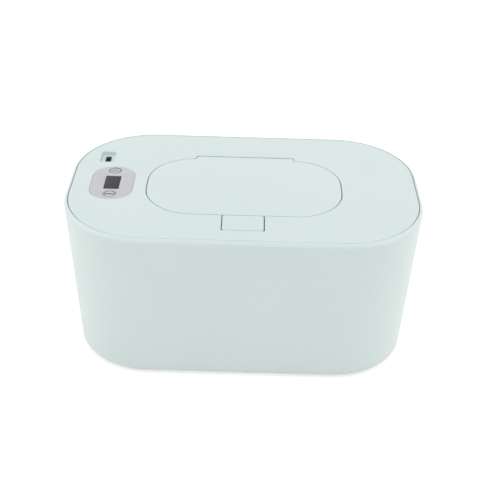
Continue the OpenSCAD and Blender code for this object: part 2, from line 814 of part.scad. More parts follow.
// Top and skirt of the lid
module lid_skin() {
    carried_round(corner_x, corner_y) difference() {
        block_section(cover_inset, skirt_z, body_height, 0, lid_edge_round);
        block_section(skirt_inset, skirt_z - over, cover_under);
    }
    middle_block(corner_x, corner_y, cover_under, body_height);
}

// Solid body of the door's recess, the hinge's housing and the well
module recess_body() {
    door_plate(-seam_gap - recess_t, ledge_under, cover_under + eps);
    box([-pocket_half - pin_hold - recess_t / 2, door_rear - over, ledge_under],
        [pocket_half + pin_hold + recess_t / 2, hinge_rear + recess_t, cover_under + eps]);
    door_plate(well_inset - well_t, well_under, ledge_under + eps);
}

// What is cut out for the door, its hinge, its catch and the well
module door_recess() {
    door_plate(-seam_gap, ledge_z, body_height + over);
    door_plate(well_inset, well_z, body_height);
    box([-pocket_half, door_rear - over, ledge_z], [pocket_half, hinge_rear, body_height + over]);
    hinge_bore(pin_r + pin_seat_gap, pocket_half + pin_hold);
    box([-catch_width / 2 - catch_gap, door_front - seam_gap, ledge_under - over],
        [catch_width / 2 + catch_gap, catch_front + catch_t + catch_room, ledge_z + over]);
    throat_plate(throat_r + throat_wall / 2, well_under - over, well_z + over);
}

// A cylinder along the hinge's axis
module hinge_bore(r, half) {
    translate([-half, hinge_y, hinge_z]) rotate([0, 90, 0]) cylinder(r = r, h = 2 * half);
}

// Guide sleeve round the button's opening
module button_sleeve() {
    box([-button_width / 2 - seam_gap - sleeve_t, button_front - seam_gap - sleeve_t, sleeve_z],
        [button_width / 2 + seam_gap + sleeve_t, sleeve_rear + eps, cover_under + eps]);
}

module button_opening() {
    half = button_width / 2 + seam_gap;
    box([-half, button_front - seam_gap, sleeve_z - over], [half, sleeve_rear, body_height + over]);
    box([-half, sleeve_rear - eps, ledge_z], [half, button_rear + eps, body_height + over]);
}

// Plan of the control panel: round ends, straight sides and rounded corners
module panel_plan(grow) {
    out_x = panel_width / 2 - panel_corner_r;
    out_y = sqrt(pow(panel_end_r - panel_corner_r, 2) - out_x * out_x);
    intersection() {
        circle(panel_end_r + grow);
        // Wedges through the corner centres, which run out past the circle
        union() for (side = [-3, 3])
            polygon([[0, 0], [-3 * out_x, side * out_y], [3 * out_x, side * out_y]]);
    }
    for (sx = [-1, 1], sy = [-1, 1])
        translate([sx * out_x, sy * out_y]) circle(panel_corner_r + grow);
    square([panel_width + 2 * grow, 2 * out_y], center = true);
}

module panel_openings() {
    translate([panel_x, panel_y, panel_seat]) linear_extrude(panel_t + over) panel_plan(fit_gap);
    translate([panel_x, panel_y, body_height / 2])
        cube([window_width - 2 * window_ledge, window_depth - 2 * window_ledge, body_height],
            center = true);
    for (spot = key_spots) post(spot, key_r + key_gap, cover_under - over, body_height + over);
}

module inlet_openings() {
    translate([inlet_x, inlet_y, 0]) {
        plate(pocket_width / 2 - pocket_r, pocket_length / 2 - pocket_r, pocket_r, pocket_z,
            body_height + over);
        usb_plate(usb_gap, pocket_z - pocket_t - over, pocket_z + over);
    }
}

// The socket's plan, grown or shrunk, standing on its edge along the depth
module usb_plate(grow, z0, z1) {
    rotate(90) plate((usb_width - usb_height) / 2, 0, usb_height / 2 + grow, z0, z1);
}

// Throat that the wipes are pulled through, with its rounded lip
module throat() {
    lip_z = well_z + throat_lip;
    translate([0, door_y, 0]) carried_round(throat_x, 0) {
        translate([throat_r, throat_z]) square([throat_wall, lip_z - throat_z]);
        translate([throat_r + throat_wall / 2, lip_z]) circle(throat_wall / 2);
    }
}

module lid_liner() {
    color(white) difference() {
        union() {
            carried_round(corner_x, corner_y) {
                difference() {
                    block_section(liner_inset, liner_z, flange_top);
                    block_section(liner_inset + liner_wall, liner_top, flange_top + over);
                }
                band_section(skirt_inset + rest_gap, liner_inset + liner_wall / 2, flange_z,
                    flange_top);
                band_section(seal_lip_inset, seal_lip_inset + seal_lip_t, lid_seat_z + 2 * rest_gap,
                    flange_z + eps);
            }
            middle_block(corner_x, corner_y, liner_z, liner_top);
            for (spot = heater_screw_spots)
                post(spot, lid_boss_r, liner_top - eps, liner_top + heater_boss_h);
        }
        throat_plate(throat_r + throat_wall + throat_gap, liner_z - over, liner_top + over);
        leads_slot(liner_z - over, liner_top + over);
        for (spot = lid_screw_spots)
            post(spot, screw_r + screw_clear, liner_z - over, liner_top + over);
        for (spot = heater_screw_spots)
            post(spot, screw_r + thread_gap, liner_z - over, liner_top + heater_boss_h + over);
    }
}

// Slot that the leads pass up through
module leads_slot(z0, z1) {
    box([leads_mid_x - leads_slot_length / 2, lead_y - leads_slot_width / 2, z0],
        [leads_mid_x + leads_slot_length / 2, lead_y + leads_slot_width / 2, z1]);
}

module lid_gasket() {
    color("#dfe3e4") carried_round(corner_x, corner_y)
        band_section(gasket_inset, gasket_inset + gasket_w, lid_seat_z, flange_z);
}

module lid_screws() {
    color(steel) for (spot = lid_screw_spots)
        screw_up(spot, liner_z, liner_top + screw_bite, screw_r, screw_head_r, screw_head_h);
}

module hinge_pin() {
    color(steel) hinge_bore(pin_r, pocket_half + pin_hold - fit_gap);
}

// ---- heater ----

module heater_plate() {
    color("#c9ccd0") difference() {
        casing_plate(plate_inset, plate_z, heater_top);
        difference() {
            casing_plate(plate_inset + plate_t, film_z, heater_top + over);
            throat_plate(plate_open_r + plate_t, film_z - over, heater_top + 2 * over);
        }
        throat_plate(plate_open_r, plate_z - over, heater_top + over);
        for (spot = heater_screw_spots)
            post(spot, screw_r + screw_clear, plate_z - over, film_z + over);
    }
}

// A layer of the heater between two heights, inside the plate's upturned edges
module heater_layer(z0, z1) {
    difference() {
        casing_plate(plate_inset + plate_t + layer_gap, z0, z1);
        throat_plate(plate_open_r + plate_t + layer_gap, z0 - over, z1 + over);
        for (spot = heater_screw_spots)
            post(spot, screw_r + 2 * screw_clear, z0 - over, z1 + over);
    }
}

module heater_film() {
    color("#c98a3c") heater_layer(film_z, felt_z);
}

module heater_insulation() {
    color("#d9d4c8") difference() {
        heater_layer(felt_z, heater_top);
        leads_slot(felt_z - over, heater_top + over);
        cutoff_box(layer_gap, felt_z - over, heater_top + over);
        box([sensor_lead_x - over, lead_y - leads_slot_width / 2, felt_z - over],
            [sensor_x + 2 * sensor_r, lead_y + leads_slot_width / 2, heater_top + over]);
    }
}

module heater_screws() {
    color(steel) for (spot = heater_screw_spots)
        screw_up(spot, plate_z, liner_top + heater_boss_h - tip_gap, screw_r, screw_head_r,
            screw_head_h);
}

// Room of the thermal cut-off, grown by a gap, between two heights
module cutoff_box(grow, z0, z1) {
    half = [cutoff_length / 2 + grow, cutoff_width / 2 + grow];
    box([cutoff_x - half.x, cutoff_y - half.y, z0], [cutoff_x + half.x, cutoff_y + half.y, z1]);
}

module thermal_cutoff() {
    color("#d9d9d4") cutoff_box(0, felt_z, felt_z + cutoff_h);
}

// Bead on the film, and its two leads that bend up to the connector
module temperature_sensor() {
    bead_z = felt_z + sensor_r;
    color("#2f6f5a") {
        translate([sensor_x, lead_y, bead_z]) rotate([90, 0, 0])
            cylinder(r = sensor_r, h = lead_pitch + 2 * sensor_r, center = true);
        for (side = [-1, 1]) translate([0, lead_y + side * lead_pitch / 2, 0]) {
            translate([sensor_lead_x + lead_bend, 0, bead_z]) rotate([0, 90, 0])
                cylinder(r = lead_r, h = sensor_x - sensor_lead_x - lead_bend);
            translate([sensor_lead_x + lead_bend, 0, bead_z + lead_bend]) rotate([-90, 0, 0])
                rotate(90) rotate_extrude(angle = 90) translate([lead_bend, 0]) circle(lead_r);
            translate([sensor_lead_x, 0, bead_z + lead_bend])
                cylinder(r = lead_r, h = connector_z - bead_z - lead_bend);
        }
    }
}

module heater_leads() {
    color("#b03030") for (side = [-1, 1])
        post([lead_x, lead_y + side * lead_pitch / 2], lead_r, felt_z, connector_z);
}

// ---- electronics ----

module lead_connector() {
    color("#efece2")
        box([leads_mid_x - connector_length / 2, lead_y - connector_width / 2, connector_z],
            [leads_mid_x + connector_length / 2, lead_y + connector_width / 2, board_z]);
}

module control_board() {
    color("#2f7a4c") difference() {
        box([panel_x - board_left, panel_y - board_front, board_z],
            [panel_x + board_right, board_back, board_top]);
        for (spot = board_screw_spots)
            post(spot, small_screw_r + screw_clear, board_z - over, board_top + over);
    }
}

module board_screws() {
    color(steel) for (spot = board_screw_spots)
        screw_up(spot, board_z, board_top + small_bite, small_screw_r, small_head_r, small_head_h);
}

module microcontroller() {
    color("#2b2d30") translate([panel_x + chip_dx, panel_y + chip_back, board_z - chip_h])
        cube([chip_length, chip_width, chip_h]);
}

module power_transistor() {
    color("#2b2d30")
        translate([panel_x + chip_dx, panel_y + transistor_back, board_z - transistor_h])
            cube([transistor_length, transistor_width, transistor_h]);
}

module filter_capacitor() {
    color("#8f949a")
        post([panel_x + board_right - capacitor_inset, panel_y + capacitor_back], capacitor_r,
            board_top, board_top + capacitor_h);
}

// Body of a tact switch, with the well that its plunger runs in
module tact_switch(spot) {
    half = switch_side / 2;
    switch_top = board_top + switch_h;
    color("#3a3c40") difference() {
        box([spot.x - half, spot.y - half, board_top], [spot.x + half, spot.y + half, switch_top]);
        post(spot, plunger_r + key_gap / 2,
            switch_top - plunger_seat - key_travel - plunger_room, switch_top + over);
    }
}

module plunger(spot) {
    color("#2b2d30") post(spot, plunger_r, board_top + switch_h - plunger_seat, plunger_top);
}

module led_display() {
    color("#3d3f44") translate([panel_x - digits_width / 2, panel_y - digits_depth / 2, board_top])
        cube([digits_width, digits_depth, cover_under - digits_gap - board_top]);
}

module display_window() {
    color("#4e4e53") translate([panel_x, panel_y, panel_seat + panel_t / 2])
        cube([window_width - 2 * fit_gap, window_depth - 2 * fit_gap, panel_t], center = true);
}

module control_panel() {
    color(panel_grey) difference() {
        translate([panel_x, panel_y, panel_seat]) linear_extrude(panel_t) panel_plan(0);
        translate([panel_x, panel_y, panel_seat])
            cube([window_width, window_depth, 4 * panel_t], center = true);
        for (spot = key_spots) post(spot, key_r + key_gap, panel_seat - over, body_height + over);
    }
}

// A round key: its cap, the collar that keeps it in, and the stem on the plunger
module key(spot) {
    color(panel_grey) {
        post(spot, key_r, key_z, body_height);
        post(spot, key_r + key_collar, key_z, key_z + key_collar_t);
        post(spot, key_stem_r, plunger_top, key_z + eps);
    }
}

module usb_socket_shell() {
    color(steel) translate([inlet_x, inlet_y, 0]) difference() {
        usb_plate(0, board_top, pocket_z);
        usb_plate(-usb_sheet, board_top + usb_sheet, pocket_z + over);
    }
}

module usb_socket_tongue() {
    inner_z = board_top + usb_sheet;
    color("#1e1f21") translate([inlet_x, inlet_y, 0]) {
        usb_plate(-usb_sheet - fit_gap / 2, inner_z, inner_z + usb_base_t);
        box([-tongue_t / 2, -tongue_width / 2, inner_z], [tongue_t / 2, tongue_width / 2,
            pocket_z - tongue_drop]);
    }
}

// ---- latch and button ----

// A sloping blade between two heights: it runs rearward as it goes down
module cam_blade(side, z0, z1, t, w) {
    flat = t / cos(45);
    y0 = cam_y + cam_level - z0;
    y1 = cam_y + cam_level - z1;
    translate([side * cam_x - w / 2, 0, 0]) rotate([90, 0, 90]) linear_extrude(w)
        polygon([[y0 - flat / 2, z0], [y0 + flat / 2, z0], [y1 + flat / 2, z1], [y1 - flat / 2, z1]]);
}

module release_button() {
    color(mint) {
        box([-button_width / 2, button_front, cap_under],
            [button_width / 2, button_rear, body_height]);
        for (side = [-1, 1]) {
            cam_blade(side, slider_z, cap_under + eps, cam_t, cam_w);
            inner = skirt_half - button_skirt_t;
            mirror([side < 0 ? 1 : 0, 0, 0]) {
                box([inner, button_y - button_skirt_front, lug_z],
                    [skirt_half, button_y + button_skirt_rear, cap_under + eps]);
                box([skirt_half - eps, button_y - lug_width / 2, lug_z],
                    [skirt_half + lug_reach, button_y + lug_width / 2, lug_top]);
            }
        }
    }
}

module latch_slider() {
    color(white) difference() {
        union() {
            box([-slider_width / 2, slider_front, slider_z],
                [slider_width / 2, slider_rear, slider_top]);
            box([-nose_width / 2, slider_rear - eps, slider_z],
                [nose_width / 2, nose_tip, slider_top]);
        }
        for (side = [-1, 1])
            cam_blade(side, slider_z - over, slider_top + over, cam_t + 2 * slide_gap,
                cam_w + 2 * slide_gap);
        box([-spring_room, spring_y - spring_room, slider_z - over],
            [spring_room, spring_y + spring_room + button_travel, slider_top + over]);
    }
}

module latch_bracket() {
    half = slider_width / 2 + slide_gap;
    front = slider_front - button_travel - bracket_reach;
    rear = slider_rear + bracket_reach;
    low = deck_z - latch_deck_t;
    color(white) difference() {
        union() {
            box([-half - rail_t, front, low], [half + rail_t, rear, slider_top + slide_gap]);
            box([-latch_screw_x, latch_boss_y - board_boss_r, low],
                [latch_screw_x, latch_boss_y + board_boss_r, deck_z]);
            for (side = [-1, 1])
                post([side * latch_screw_x, latch_boss_y], board_boss_r, low, deck_z);
        }
        box([-half, front - over, deck_z], [half, rear + over, slider_top + over]);
        for (side = [-1, 1]) {
            post([side * latch_screw_x, latch_boss_y], small_screw_r + screw_clear, low - over,
                deck_z + over);
            box([side * cam_x - cam_w / 2 - cam_room,
                cam_y + cam_level - deck_z - button_travel - cam_flat / 2 - cam_room, low - over],
                [side * cam_x + cam_w / 2 + cam_room,
                cam_y + cam_level - slider_z + cam_flat / 2 + cam_room, deck_z + over]);
        }
    }
}

module latch_screws() {
    color(steel) for (side = [-1, 1])
        screw_up([side * latch_screw_x, latch_boss_y], deck_z - latch_deck_t, deck_z + small_bite,
            small_screw_r, small_head_r, small_head_h);
}

// Helical spring: one tube that follows a helix from the deck up to the button's cap
spring_low = deck_z + spring_wire_r + spring_end_gap;
spring_rise = cap_under - spring_wire_r - spring_end_gap - spring_low;
spring_steps = 8 * spring_turns;
spring_sides = 6;

function spring_centre(k) = let (turn = 360 * k / 8)
    [spring_r * cos(turn), spring_r * sin(turn), spring_rise * k / spring_steps];

function spring_ring(k) = let (
    turn = 360 * k / 8,
    outward = [cos(turn), sin(turn), 0],
    climb = spring_rise / (2 * PI * spring_r * spring_turns),
    forward = [-sin(turn), cos(turn), climb] / sqrt(1 + climb * climb),
    upward = cross(outward, forward))
    [for (s = [0 : spring_sides - 1]) spring_centre(k)
        + spring_wire_r * (cos(60 * s) * outward + sin(60 * s) * upward)];

spring_gap = min([for (k = [0 : spring_steps - 8])
    norm(spring_centre(k) - spring_centre(k + 8))]) - 2 * spring_wire_r;
echo(least_gap_in_spring = spring_gap);

module button_spring() {
    last = spring_steps * spring_sides;
    walls = [for (k = [0 : spring_steps - 1], s = [0 : spring_sides - 1]) let (
        a = k * spring_sides + s,
        b = k * spring_sides + (s + 1) % spring_sides)
        each [[a, a + spring_sides, b], [b, a + spring_sides, b + spring_sides]]];
    caps = concat([for (s = [1 : spring_sides - 2]) [0, s, s + 1]],
        [for (s = [1 : spring_sides - 2]) [last, last + s + 1, last + s]]);
    color(steel) translate([0, spring_y, spring_low])
        polyhedron([for (k = [0 : spring_steps]) each spring_ring(k)], concat(walls, caps));
}

// ---- flip door ----

module flip_door() {
    catch_rear = catch_front + catch_t;
    color(mint) difference() {
        union() {
            translate([0, door_y, 0]) {
                carried_round(door_x, door_dy) door_section();
                middle_block(door_x, door_dy, skin_under, body_height);
            }
            box([-barrel_half, door_rear - over, hinge_z - barrel_r],
                [barrel_half, hinge_y, body_height]);
            hinge_bore(barrel_r, barrel_half);
            box([-catch_width / 2, catch_front, lip_z],
                [catch_width / 2, catch_rear, skin_under + eps]);
            box([-catch_width / 2, lip_front, lip_z],
                [catch_width / 2, catch_front + eps, lip_top]);
        }
        hinge_bore(pin_r + pin_gap, barrel_half + over);
    }
}

// Half section of the door: its skin with a rounded edge and the rib behind that edge
module door_section() {
    translate([0, skin_under]) square([door_r - door_rib_w, door_skin]);
    translate([door_r - door_rib_w - eps, door_under])
        square([door_rib_w + eps, door_edge_h - door_round]);
    translate([0, body_height - 2 * door_round]) square([door_r - door_round, 2 * door_round]);
    translate([door_r - door_round, body_height - door_round]) circle(door_round);
}

module door_liner() {
    catch_rear = catch_front + catch_t;
    color(white) difference() {
        union() {
            door_plate(door_liner_inset, door_liner_z, skin_under);
            door_plate(door_plug_inset, door_liner_z - door_plug_h, door_liner_z + eps);
        }
        translate([0, door_y, 0]) difference() {
            plate(door_x, door_dy, door_r - door_seal_inset, door_liner_z - over,
                door_liner_z + door_seal_seat);
            plate(door_x, door_dy, door_r - door_seal_inset - door_seal_w, door_liner_z - 2 * over,
                door_liner_z + over);
        }
        box([-catch_width / 2 - door_liner_gap, door_front, door_liner_z - over],
            [catch_width / 2 + door_liner_gap, catch_rear + door_liner_gap, skin_under + over]);
    }
}

module door_gasket() {
    color("#dfe3e4") difference() {
        door_plate(door_seal_inset, ledge_z, door_liner_z + door_seal_seat);
        door_plate(door_seal_inset + door_seal_w, ledge_z - over, door_liner_z + over);
    }
}

body_shell();
wipe_tub();
insulation_wrap();
insulation_base();
tub_screws();
foot(-1, -1);  // foot_front_left
foot(1, -1);  // foot_front_right
foot(-1, 1);  // foot_rear_left
foot(1, 1);  // foot_rear_right
lid_cover();
lid_liner();
lid_gasket();
lid_screws();
heater_plate();
heater_film();
heater_insulation();
heater_screws();
thermal_cutoff();
temperature_sensor();
heater_leads();
lead_connector();
control_board();
board_screws();
microcontroller();
power_transistor();
filter_capacitor();
tact_switch(key_spots[0]);  // power_switch
tact_switch(key_spots[1]);  // mode_switch
led_display();
display_window();
control_panel();
usb_socket_shell();
usb_socket_tongue();
hinge_pin();
latch_bracket();
latch_screws();
flip_door();
door_liner();
door_gasket();
release_button();
button_spring();
latch_slider();
key(key_spots[0]);  // power_key
plunger(key_spots[0]);  // power_plunger
key(key_spots[1]);  // mode_key
plunger(key_spots[1]);  // mode_plunger
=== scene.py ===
# Baby wipe warmer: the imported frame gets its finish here, and its mouldings, seals, keys, screws
# and board parts are worked out again as smooth surfaces. Lengths are written in millimetres.
import json
import math
import bmesh
import bpy
import numpy as np
from mathutils import Matrix, Vector

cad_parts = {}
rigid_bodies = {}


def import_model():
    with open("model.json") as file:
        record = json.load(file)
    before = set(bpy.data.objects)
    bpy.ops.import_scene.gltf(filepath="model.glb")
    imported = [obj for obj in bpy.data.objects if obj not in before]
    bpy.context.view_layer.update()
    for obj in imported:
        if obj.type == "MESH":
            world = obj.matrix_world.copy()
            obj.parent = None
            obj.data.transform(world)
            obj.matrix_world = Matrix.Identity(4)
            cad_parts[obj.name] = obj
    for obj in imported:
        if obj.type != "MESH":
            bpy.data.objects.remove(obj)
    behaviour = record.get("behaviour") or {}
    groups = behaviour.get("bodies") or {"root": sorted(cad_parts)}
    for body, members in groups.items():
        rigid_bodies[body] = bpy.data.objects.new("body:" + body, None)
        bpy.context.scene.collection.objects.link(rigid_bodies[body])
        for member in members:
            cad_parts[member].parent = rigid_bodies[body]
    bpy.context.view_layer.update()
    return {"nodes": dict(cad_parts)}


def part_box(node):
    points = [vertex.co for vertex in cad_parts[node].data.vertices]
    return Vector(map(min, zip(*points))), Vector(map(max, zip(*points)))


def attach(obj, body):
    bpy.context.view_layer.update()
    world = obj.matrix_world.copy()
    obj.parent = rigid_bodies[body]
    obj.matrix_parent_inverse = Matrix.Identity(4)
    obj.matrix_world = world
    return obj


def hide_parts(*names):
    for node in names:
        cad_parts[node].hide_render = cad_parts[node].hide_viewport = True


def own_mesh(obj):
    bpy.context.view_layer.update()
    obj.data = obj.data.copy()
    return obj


for thing in list(bpy.data.objects):   # the start-up cube, lamp and camera
    bpy.data.objects.remove(thing, do_unlink=True)
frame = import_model()
mm = 0.001
weld = 0.0005 * mm   # points closer than this are one

# The casing's own sizes, from which its rings are measured
casing = {
    "cornerX": 54.0, "cornerY": 14.0,   # corner centres
    "cornerRadius": 46.0,               # at the top
    "lean": 4.2, "height": 95.0,        # the walls lean in by this much over the height
}


def arcPoints(centreX, centreZ, radius, startDegrees, endDegrees, steps):
    # Points of a circle between two angles: centre + radius * (cos, sin).
    turn = np.radians(np.linspace(startDegrees, endDegrees, steps + 1))
    return np.stack([centreX + radius * np.cos(turn), centreZ + radius * np.sin(turn)], axis=1)


def cornerPath(halfX, halfY, radius, middle=(0.0, 0.0), steps=16):
    # Closed plan path of a round-cornered rectangle. Each quarter keeps its corner's centre while
    # the direction turns through 90 degrees: point = centre + direction * reach.
    quarter = np.linspace(0, np.pi / 2, steps + 1)
    turns = np.concatenate([quarter + k * np.pi / 2 for k in range(4)])
    signX = np.repeat([1, -1, -1, 1], steps + 1)
    signY = np.repeat([1, 1, -1, -1], steps + 1)
    centre = np.stack([middle[0] + signX * halfX, middle[1] + signY * halfY], axis=1)
    direction = np.stack([np.cos(turns), np.sin(turns)], axis=1)
    return {"centre": centre, "direction": direction, "reach": np.full(len(turns), float(radius))}


def circlePath(radius, middle=(0.0, 0.0), steps=48):
    # Closed circle: one centre, and the direction goes once round.
    turns = np.linspace(0, 2 * np.pi, steps, endpoint=False)
    direction = np.stack([np.cos(turns), np.sin(turns)], axis=1)
    return {"centre": np.tile(middle, (steps, 1)), "direction": direction,
            "reach": np.full(steps, float(radius))}


def gridFaces(rows, columns, ringRows=False, ringColumns=False):
    # Quads between neighbours on a grid of points. A ring joins its last row or column to the
    # first: corners (i, j), (i + 1, j), (i + 1, j + 1), (i, j + 1), each counted round its ring.
    i, j = np.meshgrid(np.arange(rows if ringRows else rows - 1),
                       np.arange(columns if ringColumns else columns - 1), indexing="ij")
    iNext, jNext = (i + 1) % rows, (j + 1) % columns
    return np.stack([i * columns + j, iNext * columns + j, iNext * columns + jNext,
                     i * columns + jNext], axis=2).reshape(-1, 4)


def carried(path, profile, lean=0.0, closed=False):
    # A profile carried round a plan path. Profile point j is (inset, z), and its place at path
    # sample i is centre + direction * (reach - inset - lean * (1 - z / height)), at height z.
    profile = np.asarray(profile, float)
    inset, z = profile[:, 0], profile[:, 1]
    reach = path["reach"][:, None] - inset - lean * (1 - z / casing["height"])
    flat = path["centre"][:, None, :] + path["direction"][:, None, :] * reach[:, :, None]
    points = np.concatenate([flat, np.broadcast_to(z[None, :, None], (*reach.shape, 1))], axis=2)
    return points.reshape(-1, 3), gridFaces(*reach.shape, True, closed)


def swept(route, radius, sides=10, stretch=(1.0, 1.0)):
    # A round section carried along a route. At each point the section lies in the plane square to
    # the route: point + radius * (cos * side + sin * upward). Both ends close in a fan.
    route = np.asarray(route, float)
    forward = np.gradient(route, axis=0)
    forward /= np.linalg.norm(forward, axis=1, keepdims=True)
    guide = np.eye(3)[np.argmin(np.abs(forward).max(axis=0))]   # the axis it turns to least
    side = np.cross(np.broadcast_to(guide, forward.shape), forward)
    side /= np.linalg.norm(side, axis=1, keepdims=True)
    upward = np.cross(forward, side)
    turns = np.linspace(0, 2 * np.pi, sides, endpoint=False)
    ring = (stretch[0] * np.cos(turns)[None, :, None] * side[:, None, :]
            + stretch[1] * np.sin(turns)[None, :, None] * upward[:, None, :])
    points = (route[:, None, :] + radius * ring).reshape(-1, 3)
    walls = gridFaces(len(route), sides, False, True)
    points = np.concatenate([points, route[:1], route[-1:]])
    low, high = len(points) - 2, len(points) - 1
    j, last = np.arange(sides), (len(route) - 1) * sides
    jNext = (j + 1) % sides
    fans = np.concatenate([
        np.stack([np.full(sides, low), jNext, j, j], axis=1),
        np.stack([np.full(sides, high), last + j, last + jNext, last + jNext], axis=1)])
    return points, np.concatenate([walls, fans])


def extruded(outline, low, high):
    # An outline in the YZ plane run along X from low to high, with flat ends.
    outline = np.asarray(outline, float)
    count = len(outline)
    x = np.repeat([low, high], count)[:, None]
    points = np.concatenate([x, np.tile(outline, (2, 1))], axis=1)
    j = np.arange(count)
    jNext = (j + 1) % count
    walls = np.stack([j, jNext, count + jNext, count + j], axis=1).tolist()
    return points, walls + [list(range(count)), list(range(count, 2 * count))]


def softSide(low, high, edge):
    # Section of an upright side from one height to the other, with a rolled edge at both.
    return np.concatenate([arcPoints(edge, low + edge, edge, 270, 180, 3),
                           arcPoints(edge, high - edge, edge, 180, 90, 3)])


def roundBox(low, high, radius, edge=0.3, steps=4):
    # A block with round upright corners and softened edges, its section carried round its plan
    # and both ends closed by a flat face.
    low, high = np.asarray(low, float), np.asarray(high, float)
    middle = (low + high) / 2
    half = (high - low) / 2
    path = cornerPath(half[0] - radius, half[1] - radius, radius, middle[:2], steps)
    profile = softSide(low[2], high[2], edge)
    points, walls = carried(path, profile)
    ring = np.arange(len(path["reach"])) * len(profile)
    return points, walls.tolist() + [ring.tolist(), (ring + len(profile) - 1).tolist()]


def addObject(name, data):
    made = bpy.data.objects.new(name, data)
    bpy.context.scene.collection.objects.link(made)
    return made


def placePiece(mesh, name, body, slot, replaces, sharp):
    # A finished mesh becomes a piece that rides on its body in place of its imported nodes.
    mesh.shade_smooth()
    mesh.set_sharp_from_angle(angle=math.radians(sharp))
    mesh.materials.clear()
    mesh.materials.append(finishes[slot])
    piece = addObject(name, mesh)
    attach(piece, body)
    if replaces:
        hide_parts(*replaces)
    return piece


def makePiece(name, surfaces, body, slot, levels=(), replaces=(), sharp=35):
    # Joins surfaces at their shared edges, fills what is left open at each level with a flat face
    # round its holes, and turns all faces outwards. Millimetres become metres here.
    points, faces, start = [], [], 0
    for spots, corners in surfaces:
        points.append(np.asarray(spots, float))
        if isinstance(corners, np.ndarray):
            corners = corners.tolist()
        faces += [[v + start for v in dict.fromkeys(face)] for face in corners]
        start += len(spots)
    mesh = bpy.data.meshes.new(name)
    mesh.from_pydata((np.concatenate(points) * mm).tolist(), [], faces)
    shape = bmesh.new()
    shape.from_mesh(mesh)
    bmesh.ops.remove_doubles(shape, verts=shape.verts, dist=weld)
    for level in levels:
        rim = [e for e in shape.edges if e.is_boundary
               and all(abs(v.co.z - level * mm) < 2 * weld for v in e.verts)]
        bmesh.ops.triangle_fill(shape, use_beauty=True, edges=rim)
    bmesh.ops.recalc_face_normals(shape, faces=shape.faces)
    shape.to_mesh(mesh)
    shape.free()
    return placePiece(mesh, name, body, slot, replaces, sharp)


def addNode(tree, kind, settings=None, **inputs):
    # One node with its settings, and its inputs by name: a value, or another node's output.
    node = tree.nodes.new(kind)
    for key, value in (settings or {}).items():
        setattr(node, key, value)
    for key, value in inputs.items():
        into = node.inputs[int(key[1:])] if key[0] == "_" else node.inputs[key.replace("_", " ")]
        if isinstance(value, bpy.types.NodeSocket):
            tree.links.new(value, into)
        else:
            into.default_value = value
    return node


def joinTo(tree, inputs, **values):
    # Another node's output goes into each input, by name.
    for key, value in values.items():
        tree.links.new(value, inputs[key.replace("_", " ")])


def mathNode(tree, operation, first, second=0.0):
    made = addNode(tree, "ShaderNodeMath", {"operation": operation}, _0=first, _1=second)
    return made.outputs[0]


def startGroup(name, inputs, outputs):
    # A node group with plain number inputs and outputs, that reads Object coordinates.
    tree = bpy.data.node_groups.new(name, "ShaderNodeTree")
    for key, value in inputs.items():
        made = tree.interface.new_socket(key, in_out="INPUT", socket_type="NodeSocketFloat")
        made.default_value = value
    for key in outputs:
        tree.interface.new_socket(key, in_out="OUTPUT", socket_type="NodeSocketFloat")
    taken = tree.nodes.new("NodeGroupInput").outputs
    given = tree.nodes.new("NodeGroupOutput").inputs
    place = addNode(tree, "ShaderNodeTexCoord").outputs["Object"]
    return tree, taken, given, place


def noise(tree, place, scale, detail=2.0, roughness=0.5, distortion=0.0):
    return addNode(tree, "ShaderNodeTexNoise", {"noise_dimensions": "3D"}, Vector=place,
                   Scale=scale, Detail=detail, Roughness=roughness,
                   Distortion=distortion).outputs["Fac"]


def mixed(tree, first, second, share):
    # share * first + (1 - share) * second
    return mathNode(tree, "ADD", mathNode(tree, "MULTIPLY", first, share),
                    mathNode(tree, "MULTIPLY", second, 1 - share))


def blended(tree, share, dark, light):
    # A colour between two. Each is three values or another node's output.
    ends = [end if isinstance(end, bpy.types.NodeSocket) else (*end, 1.0)
            for end in (dark, light)]
    return addNode(tree, "ShaderNodeMix", {"data_type": "RGBA"}, _0=share, _6=ends[0],
                   _7=ends[1]).outputs[2]


def ranged(tree, value, start, end, low=0.0, high=1.0):
    # Runs from low to high while the value goes from start to end.
    return addNode(tree, "ShaderNodeMapRange", Value=value, From_Min=start, From_Max=end,
                   To_Min=low, To_Max=high).outputs[0]


def stretched(tree, place, ratio):
    # Coordinates multiplied axis by axis; a small ratio pulls a pattern long.
    return addNode(tree, "ShaderNodeVectorMath", {"operation": "MULTIPLY"}, _0=place,
                   _1=ratio).outputs[0]


def mouldedSkin():
    # Spark-eroded tool finish: fine pits over a slow drift of tone, and a gloss that wanders.
    tree, taken, given, place = startGroup(
        "mouldedSkin", {"Grain Scale": 2400.0, "Drift Scale": 18.0}, ("Tone", "Gloss", "Height"))
    pits = addNode(tree, "ShaderNodeTexVoronoi", {"feature": "SMOOTH_F1"}, Vector=place,
                   Scale=taken["Grain Scale"], Smoothness=0.6).outputs["Distance"]
    haze = noise(tree, place, mathNode(tree, "MULTIPLY", taken["Grain Scale"], 0.45), 3.0)
    drift = noise(tree, place, taken["Drift Scale"], 3.0, 0.6)
    broad = mathNode(tree, "MULTIPLY", taken["Drift Scale"], 3.2)
    sheen = noise(tree, place, broad, 2.0, 0.5, 0.4)
    joinTo(tree, given, Height=mixed(tree, pits, haze, 0.55), Tone=drift,
           Gloss=mixed(tree, sheen, haze, 0.7))
    return tree


